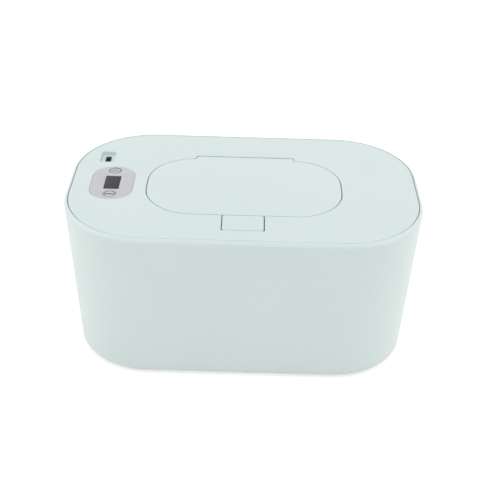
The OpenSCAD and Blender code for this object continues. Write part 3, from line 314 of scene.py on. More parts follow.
def drawnLines():
    # Rolled or drawn metal: fine and broad noise stretched along one direction, and smudges.
    tree, taken, given, place = startGroup(
        "drawnLines", {"Line Scale": 900.0, "Stretch X": 0.03, "Stretch Z": 1.0},
        ("Tone", "Gloss", "Height"))
    ratio = addNode(tree, "ShaderNodeCombineXYZ", X=taken["Stretch X"], Y=1.0,
                    Z=taken["Stretch Z"]).outputs[0]
    pulled = stretched(tree, place, ratio)
    lines = noise(tree, pulled, taken["Line Scale"], 4.0, 0.65)
    broad = noise(tree, pulled, mathNode(tree, "MULTIPLY", taken["Line Scale"], 0.12), 2.0)
    smudge = noise(tree, place, 60.0, 3.0, 0.6, 0.5)
    joinTo(tree, given, Height=lines, Tone=mixed(tree, lines, broad, 0.6),
           Gloss=mixed(tree, smudge, lines, 0.6))
    return tree


def openCells():
    # Foam: rounded cells of two sizes, darker where the cell walls meet.
    tree, taken, given, place = startGroup(
        "openCells", {"Cell Scale": 900.0}, ("Tone", "Gloss", "Height"))
    large = addNode(tree, "ShaderNodeTexVoronoi", {"feature": "F1"}, Vector=place,
                    Scale=taken["Cell Scale"]).outputs["Distance"]
    small = addNode(tree, "ShaderNodeTexVoronoi", {"feature": "F1"}, Vector=place,
                    Scale=mathNode(tree, "MULTIPLY", taken["Cell Scale"], 2.7)).outputs["Distance"]
    depth = mixed(tree, large, small, 0.7)
    joinTo(tree, given, Height=depth, Tone=mathNode(tree, "SUBTRACT", 1.0, depth),
           Gloss=noise(tree, place, 120.0))
    return tree


def pressedFibres():
    # Felt: three layers of noise pulled along different ways and bent, so that strands cross.
    tree, taken, given, place = startGroup(
        "pressedFibres", {"Fibre Scale": 700.0}, ("Tone", "Gloss", "Height"))
    layers = [noise(tree, stretched(tree, place, ratio), taken["Fibre Scale"], 3.0, 0.6, 1.5)
              for ratio in ((0.12, 1.0, 1.0), (1.0, 0.12, 1.0), (0.5, 0.5, 0.2))]
    crossed = mathNode(tree, "MAXIMUM", layers[0], layers[1])
    joinTo(tree, given, Height=mathNode(tree, "MAXIMUM", crossed, layers[2]), Tone=crossed,
           Gloss=layers[2])
    return tree


def etchedTracks():
    # Printed or etched tracks: bands of a square-cornered maze, with a soft edge to each track.
    tree, taken, given, place = startGroup(
        "etchedTracks", {"Track Scale": 260.0, "Turn Scale": 40.0}, ("Track", "Tone", "Height"))
    cells = addNode(tree, "ShaderNodeTexVoronoi",
                    {"feature": "F1", "distance": "CHEBYCHEV", "voronoi_dimensions": "2D"},
                    Vector=place, Scale=taken["Turn Scale"], Randomness=0.6).outputs["Distance"]
    bands = mathNode(tree, "PINGPONG", mathNode(tree, "MULTIPLY", cells, 7.0), 1.0)
    track = addNode(tree, "ShaderNodeMapRange", {"interpolation_type": "SMOOTHSTEP"}, Value=bands,
                    From_Min=0.52, From_Max=0.62).outputs[0]
    joinTo(tree, given, Track=track, Height=track,
           Tone=noise(tree, place, taken["Track Scale"], 3.0))
    return tree


groups = {"skin": mouldedSkin(), "drawn": drawnLines(), "cells": openCells(),
          "fibres": pressedFibres(), "tracks": etchedTracks()}


def startFinish(name, **shader):
    # A material with one Principled shader, whose even values are set on its own sockets.
    material = bpy.data.materials.new(name + "Finish")
    material.use_nodes = True
    tree = material.node_tree
    principled = tree.nodes["Principled BSDF"]
    for key, value in shader.items():
        principled.inputs[key.replace("_", " ")].default_value = value
    return material, tree, principled


def placeGroup(tree, group, scales):
    # A shared effect, with this finish's own values in the order of the group's inputs.
    effect = tree.nodes.new("ShaderNodeGroup")
    effect.node_tree = groups[group]
    for into, value in zip(effect.inputs, scales):
        into.default_value = value
    return effect.outputs


def linkFinish(tree, principled, colour, rough, height, relief, strength):
    # The shader takes a colour, a roughness and a fine relief (depth in millimetres).
    bump = addNode(tree, "ShaderNodeBump", Height=height, Strength=strength,
                   Distance=relief * mm).outputs[0]
    joinTo(tree, principled.inputs, Base_Color=colour, Roughness=rough, Normal=bump)


groupMiddle = (0.3, 0.7)   # the part of a group's range that is used in full


def surfaceFinish(name, group, light, dark, gloss, relief, scales, **shader):
    # Base colour runs from dark to light with the group's Tone, and roughness between two values
    # with its Gloss, both over the middle of the group's range. Its Height makes the relief.
    material, tree, principled = startFinish(name, **shader)
    effect = placeGroup(tree, group, scales)
    colour = blended(tree, ranged(tree, effect["Tone"], *groupMiddle), dark, light)
    rough = ranged(tree, effect["Gloss"], *groupMiddle, *gloss)
    linkFinish(tree, principled, colour, rough, effect["Height"], relief, 0.6)
    return material


def trackFinish(name, base, track, gloss, relief, scales, **shader):
    # Tracks of one colour over a mottled base of another, raised by the relief and glossier.
    material, tree, principled = startFinish(name, **shader)
    effect = placeGroup(tree, "tracks", scales)
    mottled = blended(tree, effect["Tone"], [c * 0.85 for c in base], base)
    colour = blended(tree, effect["Track"], mottled, track)
    rough = ranged(tree, effect["Track"], 0.0, 1.0, gloss[1], gloss[0])
    linkFinish(tree, principled, colour, rough, effect["Height"], relief, 0.5)
    return material


# Colours are linear. Each row: group, light, dark, roughness from and to, relief in mm, the
# group's own values (such as grain and drift, per metre), and what is set on the shader.
finishes = {
    "mint_abs": surfaceFinish(
        "mint", "skin", (0.675, 0.785, 0.776), (0.658, 0.769, 0.760), (0.40, 0.50), 0.012,
        (2200.0, 14.0), Coat_Weight=0.3, Coat_Roughness=0.3),
    "white_pp": surfaceFinish(
        "white", "skin", (0.82, 0.83, 0.81), (0.79, 0.80, 0.78), (0.38, 0.50), 0.010,
        (1800.0, 20.0), Subsurface_Weight=0.06, Subsurface_Radius=(1.0, 0.9, 0.8),
        Subsurface_Scale=0.0008),
    "panel_grey": surfaceFinish(
        "panel", "skin", (0.558, 0.560, 0.598), (0.540, 0.543, 0.583), (0.26, 0.36), 0.005,
        (2800.0, 45.0), Coat_Weight=0.15, Coat_Roughness=0.25),
    "key_grey": surfaceFinish(
        "key", "skin", (0.590, 0.592, 0.630), (0.570, 0.573, 0.612), (0.28, 0.38), 0.005,
        (2600.0, 60.0)),
    "smoked_window": surfaceFinish(
        "smoked", "skin", (0.020, 0.019, 0.027), (0.015, 0.014, 0.020), (0.22, 0.30), 0.002,
        (700.0, 90.0), Specular_IOR_Level=0.28),
    "print_grey": surfaceFinish(
        "print", "skin", (0.075, 0.075, 0.085), (0.060, 0.060, 0.070), (0.45, 0.60), 0.004,
        (3000.0, 300.0), Specular_IOR_Level=0.3),
    "foam": surfaceFinish(
        "foam", "cells", (0.80, 0.78, 0.70), (0.60, 0.58, 0.51), (0.85, 0.95), 0.12, (800.0,),
        Specular_IOR_Level=0.2),
    "felt": surfaceFinish(
        "felt", "fibres", (0.68, 0.65, 0.57), (0.44, 0.42, 0.36), (0.88, 0.96), 0.15, (700.0,),
        Specular_IOR_Level=0.15, Sheen_Weight=0.4, Sheen_Roughness=0.6),
    "steel": surfaceFinish(
        "steel", "drawn", (0.62, 0.63, 0.65), (0.44, 0.45, 0.47), (0.22, 0.38), 0.006,
        (1800.0, 1.0, 0.2), Metallic=1.0),
    "socket_steel": surfaceFinish(
        "socket", "drawn", (0.46, 0.47, 0.50), (0.32, 0.33, 0.35), (0.24, 0.36), 0.004,
        (2400.0, 1.0, 0.15), Metallic=1.0),
    "heater_aluminium": surfaceFinish(
        "aluminium", "drawn", (0.80, 0.81, 0.82), (0.66, 0.67, 0.69), (0.30, 0.44), 0.010,
        (1300.0, 0.03, 1.0), Metallic=1.0),
    "capacitor_can": surfaceFinish(
        "can", "drawn", (0.72, 0.73, 0.75), (0.58, 0.59, 0.61), (0.24, 0.34), 0.004,
        (1500.0, 1.0, 0.1), Metallic=1.0),
    "foot_rubber": surfaceFinish(
        "rubber", "skin", (0.075, 0.078, 0.082), (0.052, 0.054, 0.058), (0.62, 0.78), 0.030,
        (1500.0, 160.0), Specular_IOR_Level=0.35),
    "silicone": surfaceFinish(
        "silicone", "skin", (0.70, 0.73, 0.74), (0.62, 0.65, 0.66), (0.42, 0.56), 0.010,
        (1200.0, 80.0), Subsurface_Weight=0.25, Subsurface_Radius=(1.0, 1.0, 1.0),
        Subsurface_Scale=0.0012),
    "white_ceramic": surfaceFinish(
        "ceramic", "skin", (0.74, 0.73, 0.69), (0.62, 0.61, 0.57), (0.45, 0.65), 0.030,
        (1600.0, 300.0)),
    "sensor_green": surfaceFinish(
        "sensor", "skin", (0.045, 0.20, 0.12), (0.030, 0.15, 0.09), (0.25, 0.40), 0.010,
        (1400.0, 400.0)),
    "lead_red": surfaceFinish(
        "lead", "skin", (0.46, 0.035, 0.030), (0.36, 0.025, 0.022), (0.35, 0.48), 0.008,
        (2000.0, 300.0)),
    "black_resin": surfaceFinish(
        "resin", "skin", (0.026, 0.028, 0.031), (0.016, 0.017, 0.019), (0.48, 0.66), 0.015,
        (2600.0, 300.0)),
    "board_green": trackFinish(
        "board", (0.020, 0.150, 0.060), (0.035, 0.220, 0.090), (0.30, 0.42), 0.035,
        (700.0, 190.0), Coat_Weight=0.4, Coat_Roughness=0.2),
    "amber_film": trackFinish(
        "film", (0.56, 0.27, 0.055), (0.42, 0.24, 0.12), (0.25, 0.34), 0.030, (300.0, 60.0),
        Coat_Weight=0.5, Coat_Roughness=0.12),
}
for node in frame["nodes"].values():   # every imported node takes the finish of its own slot
    for place in node.material_slots:
        place.material = finishes[place.material.name]
print("finishes:", len(finishes))


def turned(middle, profile, steps=48):
    # A lathe shape: each (radius, z) of the profile goes once round an upright axis.
    profile = np.asarray(profile, float) * (-1.0, 1.0)
    return carried(circlePath(0.0, middle, steps), profile)


def softLoop(insetLow, insetHigh, zLow, zHigh, radius, steps=3):
    # Closed section of a band with four round corners, for carrying round a plan.
    return np.concatenate([
        arcPoints(insetLow + radius, zLow + radius, radius, 270, 180, steps),
        arcPoints(insetLow + radius, zHigh - radius, radius, 180, 90, steps),
        arcPoints(insetHigh - radius, zHigh - radius, radius, 90, 0, steps),
        arcPoints(insetHigh - radius, zLow + radius, radius, 0, -90, steps)])


def nodeBox(node):
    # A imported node's corners in millimetres.
    low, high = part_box(node)
    return np.array(low) / mm, np.array(high) / mm


def heightsOf(node):
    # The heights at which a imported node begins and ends.
    return [corner[2] for corner in nodeBox(node)]


def planOf(node):
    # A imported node's middle and half size in plan.
    low, high = nodeBox(node)
    return tuple(((low + high) / 2)[:2]), ((high - low) / 2)[:2]


def casingPlan(inset=0.0, steps=24):
    # The casing's plan at its top, moved in by the inset.
    return cornerPath(casing["cornerX"], casing["cornerY"], casing["cornerRadius"] - inset,
                      steps=steps)


flatAngle, bevelAngle = 0.3, 40   # degrees: merged below the first, bevelled above the second


def softened(node, name, body, slot, width, bands):
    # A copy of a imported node: its triangles are merged into whole faces, and the sharp edges that
    # lie in the given bands of height get a small round bevel.
    source = frame["nodes"][node].data
    shape = bmesh.new()
    shape.from_mesh(source)
    bmesh.ops.remove_doubles(shape, verts=shape.verts, dist=weld)
    bmesh.ops.dissolve_limit(shape, angle_limit=math.radians(flatAngle), verts=shape.verts,
                             edges=shape.edges)
    weight = shape.edges.layers.float.new("bevel_weight_edge")
    for edge in shape.edges:
        heights = [v.co.z / mm for v in edge.verts]
        inBand = any(low <= min(heights) and max(heights) <= high for low, high in bands)
        turnsAt = edge.calc_face_angle(0.0)   # 0 where an edge has not two faces
        if inBand and turnsAt > math.radians(bevelAngle):
            edge[weight] = 1.0
    mesh = bpy.data.meshes.new(name)
    shape.to_mesh(mesh)
    shape.free()
    if "custom_normal" in mesh.attributes:
        mesh.attributes.remove(mesh.attributes["custom_normal"])
    piece = placePiece(mesh, name, body, slot, (node,), 30)
    bevel = piece.modifiers.new("softEdges", "BEVEL")
    bevel.width, bevel.segments, bevel.limit_method = width * mm, 3, "WEIGHT"
    bevel.harden_normals = True


shell = {"wall": 2.0, "bottomRound": 3.0, "rimRadius": 3.4, "rimTurn": 57.0, "rimDrop": 0.03,
         "innerEdge": 0.25, "innerRound": 1.0, "underside": 1.5, "floorTop": 4.1, "padTop": 5.6,
         "padRadius": 5.0, "screwRoom": 0.25, "boxRoom": 0.005}   # boxRoom: stays in the CAD's box
footing = {"spotX": 64.0, "spotY": 28.0, "radius": 7.0, "height": 2.5, "edge": 0.6,
           "topEdge": 0.15, "grooves": (2.2, 4.6), "grooveWidth": 1.2, "grooveDepth": 0.3,
           "recessRadius": 7.1}
screwSizes = {
    "large": {"shank": 1.4, "head": 2.7, "headHeight": 1.4, "pitch": 0.9},
    "small": {"shank": 1.0, "head": 1.9, "headHeight": 1.1, "pitch": 0.7},
}


def fourSpots(x, y):
    return [(side * x, end * y) for side in (-1, 1) for end in (-1, 1)]


footSpots = fourSpots(footing["spotX"], footing["spotY"])


def makeCasing():
    # The wall's section runs from the underside up the outside, over the rim and down the inside.
    # The rim's arc turns less than 90 degrees, so that the wall rolls broadly into the top.
    # Each foot's recess, screw seat and hole are lathe shapes that join underside and floor.
    s, f = shell, footing
    top, low, floorTop = casing["height"], s["underside"], s["floorTop"]
    rimMiddle = top - s["rimDrop"] - s["rimRadius"] * math.sin(math.radians(s["rimTurn"]))
    section = np.concatenate([
        arcPoints(s["bottomRound"], low + s["bottomRound"], s["bottomRound"], 270, 180, 8),
        arcPoints(s["rimRadius"], rimMiddle, s["rimRadius"], 180, 180 - s["rimTurn"], 12),
        arcPoints(s["wall"] - s["innerEdge"], top - s["innerEdge"], s["innerEdge"], 90, 0, 4),
        arcPoints(s["wall"] + s["innerRound"], floorTop + s["innerRound"], s["innerRound"],
                  180, 270, 4)])
    large = screwSizes["large"]
    seat, clamp = f["height"], f["height"] + large["headHeight"]
    headRoom, hole = large["head"] + s["screwRoom"], large["shank"] + s["screwRoom"]
    well = [(f["recessRadius"], low), (f["recessRadius"], seat), (headRoom, seat),
            (headRoom, clamp), (hole, clamp), (hole, s["padTop"]), (s["padRadius"], s["padTop"]),
            (s["padRadius"], floorTop)]
    surfaces = [carried(casingPlan(s["boxRoom"]), section, casing["lean"])]
    surfaces += [turned(spot, well) for spot in footSpots]
    makePiece("casing", surfaces, "base", "mint_abs", (low, floorTop), ("body_shell",))


tub = {"inset": 5.8, "wall": 1.6, "flangeInset": 2.4, "flangeLow": 76.4, "rim": 78.0,
       "underside": 8.0, "innerRound": 8.0, "mouthRound": 0.9, "flangeRound": 0.3, "lipRound": 0.4,
       "bossRadius": 3.5, "bossEdge": 0.2, "pilot": 1.45}


def makeTub():
    # Outside of the wall, round the flange, over the mouth's soft edge and down to the floor.
    t = tub
    low, inner = t["underside"], t["inset"] + t["wall"]
    outerRound = t["innerRound"] + t["wall"]
    floorTop = low + t["wall"]
    section = np.concatenate([
        arcPoints(t["inset"] + outerRound, low + outerRound, outerRound, 270, 180, 10),
        [(t["inset"], t["flangeLow"])],
        arcPoints(t["flangeInset"] + t["flangeRound"], t["flangeLow"] + t["flangeRound"],
                  t["flangeRound"], 270, 180, 3),
        arcPoints(t["flangeInset"] + t["lipRound"], t["rim"] - t["lipRound"], t["lipRound"],
                  180, 90, 4),
        arcPoints(inner - t["mouthRound"], t["rim"] - t["mouthRound"], t["mouthRound"], 90, 0, 6),
        arcPoints(inner + t["innerRound"], floorTop + t["innerRound"], t["innerRound"],
                  180, 270, 10)])
    bossLow = shell["padTop"]
    boss = [(t["bossRadius"], low), (t["bossRadius"], bossLow + t["bossEdge"]),
            (t["bossRadius"] - t["bossEdge"], bossLow), (t["pilot"], bossLow),
            (t["pilot"], low + t["wall"] / 2), (0.0, low + t["wall"] / 2)]
    surfaces = [carried(casingPlan(), section, casing["lean"])]
    surfaces += [turned(spot, boss, 32) for spot in footSpots]
    makePiece("tub", surfaces, "base", "white_pp", (low, floorTop), ("wipe_tub",))


foam = {"insets": (2.4, 5.4), "wrapRound": 0.9, "baseRound": 0.7, "padRoom": 0.4}


def makeFoam():
    # The wrap is a soft-cornered band carried round the tub, and the base a slab round the pads.
    band = softLoop(*foam["insets"], *heightsOf("insulation_wrap"), foam["wrapRound"])
    makePiece("foam_wrap", [carried(casingPlan(), band, casing["lean"], closed=True)], "base",
              "foam", (), ("insulation_wrap",))
    low, high = nodeBox("insulation_base")
    plan = cornerPath(casing["cornerX"], casing["cornerY"], high[1] - casing["cornerY"], steps=20)
    section = softSide(low[2], high[2], foam["baseRound"])
    hole = shell["padRadius"] + foam["padRoom"]
    holes = [turned(spot, [(hole, low[2]), (hole, high[2])], 32) for spot in footSpots]
    makePiece("foam_base", [carried(plan, section), *holes], "base", "foam", (low[2], high[2]),
              ("insulation_base",))


def makeFeet():
    # Lathe section of a foot: a sole with round grooves, a rolled edge and a straight side.
    f = footing
    depth, width, lip = f["grooveDepth"], f["grooveWidth"], f["topEdge"]
    sole = [(0.0, depth)]
    for radius in f["grooves"]:
        sole += [(radius, depth), (radius + depth, 0.0), (radius + width, 0.0),
                 (radius + width + depth, depth)]
    section = np.concatenate([
        sole[:-1], arcPoints(f["radius"] - f["edge"], f["edge"], f["edge"], -90, 0, 5),
        arcPoints(f["radius"] - lip, f["height"] - lip, lip, 0, 90, 2), [(0.0, f["height"])]])
    for name, side, end in (("rear_left", -1, 1), ("rear_right", 1, 1), ("front_left", -1, -1),
                            ("front_right", 1, -1)):
        where = (side * f["spotX"], end * f["spotY"])
        makePiece("rubber_foot_" + name, [turned(where, section, 56)], "base", "foot_rubber", (),
                  ("foot_" + name,), 40)


screwShape = {   # shares of the head's radius, the head's height or the shank's radius
    "face": 0.93, "dome": 0.22, "arm": 0.16, "reach": 0.56, "crossDepth": 0.5, "headEdge": 0.45,
    "threadDepth": 0.22, "tip": 0.45,
    "seatBreak": 0.08, "neck": 0.2, "cone": 0.9, "tipBreak": 0.15,   # mm from the seat or the tip
    "unwound": 1.2, "turnRows": 6,   # mm that count as no turn, and rows in each turn
}


def spokesOf(radius, z, turns):
    # Rings of points: (radius * cos, radius * sin, z), where a radius may vary along its ring.
    radius = np.asarray(radius, float)
    radius = radius if radius.ndim == 2 else radius[:, None]
    height = np.asarray(z, float)[:, None]
    return np.stack([radius * np.cos(turns), radius * np.sin(turns),
                     np.broadcast_to(height, (len(radius), len(turns)))], axis=2)


def screwSurface(spot, seatZ, tipZ, size, spokes=32):
    # One skin over head and shank, on a grid of rows and spokes. The head is a shallow dome whose
    # face sinks into a cross; the shank's radius falls and rises with height minus angle, which
    # winds a thread; the tip closes in a cone.
    s, shares = screwSizes[size], screwShape
    turns = np.linspace(0, 2 * np.pi, spokes, endpoint=False)
    faceRadius = np.linspace(0, s["head"] * shares["face"], 12)
    bottom = seatZ - s["headHeight"]
    dome = shares["dome"] * s["headHeight"]
    face = spokesOf(faceRadius, bottom + dome * (faceRadius / s["head"]) ** 2, turns)
    x, y = face[..., 0], face[..., 1]
    arm, reach = shares["arm"] * s["head"], shares["reach"] * s["head"]
    bars = [np.clip((arm - abs(a)) / (0.5 * arm) + 0.5, 0, 1)
            * np.clip((reach - abs(b)) / (0.5 * arm) + 0.5, 0, 1) for a, b in ((x, y), (y, x))]
    face[..., 2] += shares["crossDepth"] * s["headHeight"] * np.maximum(*bars)
    seatBreak = shares["seatBreak"]
    side = np.array([(s["head"], bottom + shares["headEdge"] * s["headHeight"]),
                     (s["head"], seatZ - seatBreak), (s["head"] - seatBreak, seatZ),
                     (s["shank"], seatZ)])
    wound = (tipZ - seatZ - shares["unwound"]) / s["pitch"]
    rows = max(2, int(wound * shares["turnRows"]))
    height = np.linspace(seatZ + shares["neck"], tipZ - shares["cone"], rows)
    sunk = 0.5 - 0.5 * np.cos(2 * np.pi * height[:, None] / s["pitch"] - turns)
    thread = s["shank"] * (1 - shares["threadDepth"] * sunk ** 1.5)
    grid = np.concatenate([
        face, spokesOf(side[:, 0], side[:, 1], turns), spokesOf(thread, height, turns),
        spokesOf([shares["tip"] * s["shank"], 0.0], [tipZ - shares["tipBreak"], tipZ],
                 turns)])
    return grid.reshape(-1, 3) + (*spot, 0.0), gridFaces(len(grid), spokes, False, True)


screwSets = {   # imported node: name, body, size and where each screw stands
    "tub_screws": ("tub_screw_set", "base", "large", footSpots),
    "lid_screws": ("liner_screw_set", "lid", "large",
                   fourSpots(63.75, 40.78) + fourSpots(26.0, 42.5)),
    "heater_screws": ("heater_screw_set", "lid", "large", fourSpots(45.0, 27.0)),
    "board_screws": ("board_screw_set", "lid", "small",
                     [(-83.5, -17.9), (-65.0, -17.9), (-65.0, 32.5), (-83.5, 14.5)]),
    "latch_screws": ("latch_screw_set", "lid", "small", [(-16.5, -41.03), (16.5, -41.03)]),
}


def makeScrews():
    for node, (name, body, size, spots) in screwSets.items():
        low, tip = heightsOf(node)
        seat = low + screwSizes[size]["headHeight"]
        makePiece(name, [screwSurface(spot, seat, tip, size) for spot in spots], body, "steel",
                  (), (node,), 50)


lid = {"edge": 0.3, "linerLow": 76.0, "seal": [   # the seal's two lips: inset and z
    (5.0, 79.9), (5.0, 79.1), (5.15, 78.5), (5.35, 78.08), (5.6, 78.0), (5.85, 78.08),
    (6.05, 78.6), (6.2, 78.75), (6.35, 78.6), (6.55, 78.08), (6.8, 78.0), (7.05, 78.08),
    (7.25, 78.5), (7.4, 79.1), (7.4, 79.9), (7.3, 80.0), (5.1, 80.0)]}


def around(*heights):
    # Narrow bands of height, for the edges that softened() rounds.
    return [(height - 0.05, height + 0.05) for height in heights]


def makeLid():
    # Cover and liner round off where they show; the seal's section is carried round the plan.
    softened("lid_cover", "lid_top", "lid", "mint_abs", lid["edge"], around(casing["height"]))
    softened("lid_liner", "liner", "lid", "white_pp", lid["edge"], around(lid["linerLow"]))
    seal = carried(casingPlan(), lid["seal"], casing["lean"], closed=True)
    makePiece("lid_seal", [seal], "lid", "silicone", (), ("lid_gasket",), 50)


door = {"middleY": -2.0, "cornerX": 29.0, "cornerY": 4.7, "radius": 26.0, "skin": 2.0,
        "edgeHeight": 3.4, "rib": 1.5, "ribRound": 0.3, "topRound": 0.35,
        "ribBreaks": (0.15, 0.2), "knuckle": (0.6, 0.05),   # in from the rear, down from the top
        "barrelRadius": 1.25, "barrelHalf": 28.6, "hinge": (31.2, 93.75),
        "pinRadius": 0.6, "pinHalf": 31.95, "pinEdge": 0.2,
        "catchHalf": 6.0, "catch": [   # how far behind the door's front, and z
            (1.7, 93.4), (1.7, 86.0), (0.9, 86.0), (0.7, 85.8), (0.7, 85.0), (1.1, 84.6),
            (3.1, 84.6), (3.3, 84.8), (3.3, 93.4)],
        "panelEdge": 0.35, "panelLevels": (89.6, 91.6),
        "sealInsets": (4.2, 6.2), "sealBulb": 0.62, "sealFoot": 0.95}


def doorPlan():
    return cornerPath(door["cornerX"], door["cornerY"], door["radius"], (0.0, door["middleY"]), 20)


def makeDoor():
    # Skin and edge rib are one section carried round the door. The hinge's knuckle and the catch
    # are outlines in the YZ plane, run along the length.
    d = door
    top = casing["height"]
    skinLow, ribLow = top - d["skin"], top - d["edgeHeight"]
    (inner, outer), (back, drop) = d["ribBreaks"], d["knuckle"]
    section = np.concatenate([
        [(d["rib"] + d["ribRound"], skinLow), (d["rib"], skinLow - d["ribRound"]),
         (d["rib"], ribLow + inner), (d["rib"] - inner, ribLow), (outer, ribLow),
         (0.0, ribLow + outer)],
        arcPoints(d["topRound"], top - d["topRound"], d["topRound"], 180, 90, 6)])
    rear = d["middleY"] + d["cornerY"] + d["radius"]
    knuckle = np.concatenate([
        [(rear - back, top - drop), (rear - back, skinLow)],
        arcPoints(*d["hinge"], d["barrelRadius"], -90, 90, 16)])
    front = d["middleY"] - d["cornerY"] - d["radius"]
    catch = np.array(d["catch"]) + (front, 0.0)
    surfaces = [carried(doorPlan(), section), extruded(knuckle, -d["barrelHalf"], d["barrelHalf"]),
                extruded(catch, -d["catchHalf"], d["catchHalf"])]
    makePiece("door_skin", surfaces, "door", "mint_abs", (skinLow, top), ("flip_door",))
    softened("door_liner", "door_inner_panel", "door", "white_pp", d["panelEdge"],
             around(*d["panelLevels"]))


def makeDoorSeal():
    # The seal's section is a round bulb under a flat foot, and the hinge's rod is swept along X.
    d = door
    low, high = heightsOf("door_gasket")
    (outer, inner), foot = d["sealInsets"], low + d["sealFoot"]
    bulb = np.concatenate([
        arcPoints((outer + inner) / 2, low + d["sealBulb"], d["sealBulb"], 200, 340, 8),
        [(inner, foot), (inner, high), (outer, high), (outer, foot)]])
    makePiece("door_seal", [carried(doorPlan(), bulb, closed=True)], "door", "silicone", (),
              ("door_gasket",), 50)
    end = d["pinHalf"] - d["pinEdge"]
    x = np.concatenate([[-d["pinHalf"]], np.linspace(-end, end, 9), [d["pinHalf"]]])
    route = np.stack([x, *(np.full(11, v) for v in d["hinge"])], axis=1)
    makePiece("hinge_rod", [swept(route, d["pinRadius"], 24)], "lid", "steel", (), ("hinge_pin",),
              50)


button = {"halfX": 11.2, "front": -47.7, "rear": -33.15, "corner": 1.5, "capUnder": 92.8,
          "edge": 0.4, "dish": 0.15, "underBreak": 0.15, "partEdge": 0.15,
          "skirtX": (9.6, 10.8), "skirtY": (-45.425, -36.225), "skirtZ": (88.4, 92.9),
          "lugX": (10.5, 12.4), "lugY": (-43.425, -37.425), "lugZ": (88.4, 89.4),
          "camX": (4.6, 6.2), "camThick": 1.4, "camMiddle": (-39.8, 87.0), "camZ": (86.2, 92.9)}


def makeButton():
    # The cap's rim is a section carried round a small-cornered plan. Its top shrinks that outline
    # towards the middle by a share from 1 to 0, and sinks by dish * (1 - share^2)^2. Under it hang
    # two skirts with lugs, and two cam blades whose y falls as z rises: a slope of 45 degrees.
    b = button
    top = casing["height"]
    middle = (0.0, (b["front"] + b["rear"]) / 2)
    halfY = (b["rear"] - b["front"]) / 2
    plan = cornerPath(b["halfX"] - b["corner"], halfY - b["corner"], b["corner"], middle, 8)
    rim = np.concatenate([
        [(b["underBreak"], b["capUnder"]), (0.0, b["capUnder"] + b["underBreak"])],
        arcPoints(b["edge"], top - b["edge"], b["edge"], 180, 90, 5)])
    share = np.linspace(1, 0, 14)
    ring = plan["centre"] + plan["direction"] * (b["corner"] - b["edge"])
    flat = middle + (ring[:, None, :] - middle) * share[None, :, None]
    sink = np.broadcast_to(b["dish"] * (1 - share ** 2) ** 2, flat.shape[:2])
    points = np.concatenate([flat, (top - sink)[..., None]], axis=2)
    surfaces = [carried(plan, rim), (points.reshape(-1, 3), gridFaces(*sink.shape, True))]
    half = b["camThick"] / math.cos(math.radians(45)) / 2
    camZ = np.repeat(b["camZ"], 2)
    blade = np.stack([sum(b["camMiddle"]) - camZ + half * np.array([-1, 1, 1, -1]), camZ], axis=1)
    for side in (-1, 1):
        for part, corner in (("skirt", 0.4), ("lug", 0.5)):
            x = sorted(side * v for v in b[part + "X"])
            low, high = zip(x, b[part + "Y"], b[part + "Z"])
            surfaces.append(roundBox(low, high, corner, b["partEdge"]))
        surfaces.append(extruded(blade, *sorted(side * v for v in b["camX"])))
    makePiece("push_button", surfaces, "button", "mint_abs", (b["capUnder"],),
              ("release_button",))


spring = {"middle": (0.0, -41.525), "radius": 1.9, "wire": 0.25, "low": 86.1, "high": 92.7,
          "turns": 5, "flatRise": 0.09,   # its ends' share of the rise
          "pressed": 0.77}                # its share of the height with the button down


def makeSpring():
    # A helix: middle + radius * (cos, sin) of the turn, with one flatter turn at each end.
    p = spring
    allTurns = p["turns"] + 2
    t = np.linspace(0, 1, 24 * allTurns + 1)
    turn = 2 * np.pi * t * allTurns
    rise = np.interp(t, [0, 1 / allTurns, 1 - 1 / allTurns, 1],
                     [0, p["flatRise"], 1 - p["flatRise"], 1])
    travel = p["high"] - p["low"] - 2 * p["wire"]
    route = np.stack([p["middle"][0] + p["radius"] * np.cos(turn),
                      p["middle"][1] + p["radius"] * np.sin(turn),
                      p["low"] + p["wire"] + travel * rise], axis=1)
    coil = makePiece("coil_spring", [swept(route, p["wire"], 10)], "lid", "steel", (),
                     ("button_spring",))
    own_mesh(coil)


panel = {"corner": 10.5, "edge": 0.3, "lip": 0.15, "clearance": 0.1, "windowCorner": 0.5,
         "lensBreak": 0.1, "lensEdge": 0.2,
         "keyHole": 3.85, "keyRadius": 3.65, "keyEdge": 0.3, "keyDish": 0.15}


def panelPath(steps=12):
    # Round front and rear ends, straight sides, and an arc at each of the four corners: each
    # stretch keeps its own centre and reach while the direction turns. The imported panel's box
    # gives its width and the radius of its ends.
    spot, (halfWidth, endRadius) = planOf("control_panel")
    corner = panel["corner"]
    cornerX = halfWidth - corner
    cornerY = math.sqrt((endRadius - corner) ** 2 - cornerX ** 2)
    bend = math.degrees(math.atan2(cornerY, cornerX))
    stretches = [((cornerX, cornerY), corner, 0, bend), ((0, 0), endRadius, bend, 180 - bend),
                 ((-cornerX, cornerY), corner, 180 - bend, 180),
                 ((-cornerX, -cornerY), corner, 180, 180 + bend),
                 ((0, 0), endRadius, 180 + bend, 360 - bend),
                 ((cornerX, -cornerY), corner, 360 - bend, 360)]
    centre, direction, reach = [], [], []
    for middle, radius, start, end in stretches:
        turns = np.radians(np.linspace(start, end, steps + 1))
        centre.append(np.tile(np.add(spot, middle), (steps + 1, 1)))
        direction.append(np.stack([np.cos(turns), np.sin(turns)], axis=1))
        reach.append(np.full(steps + 1, float(radius)))
    return {"centre": np.concatenate(centre), "direction": np.concatenate(direction),
            "reach": np.concatenate(reach)}


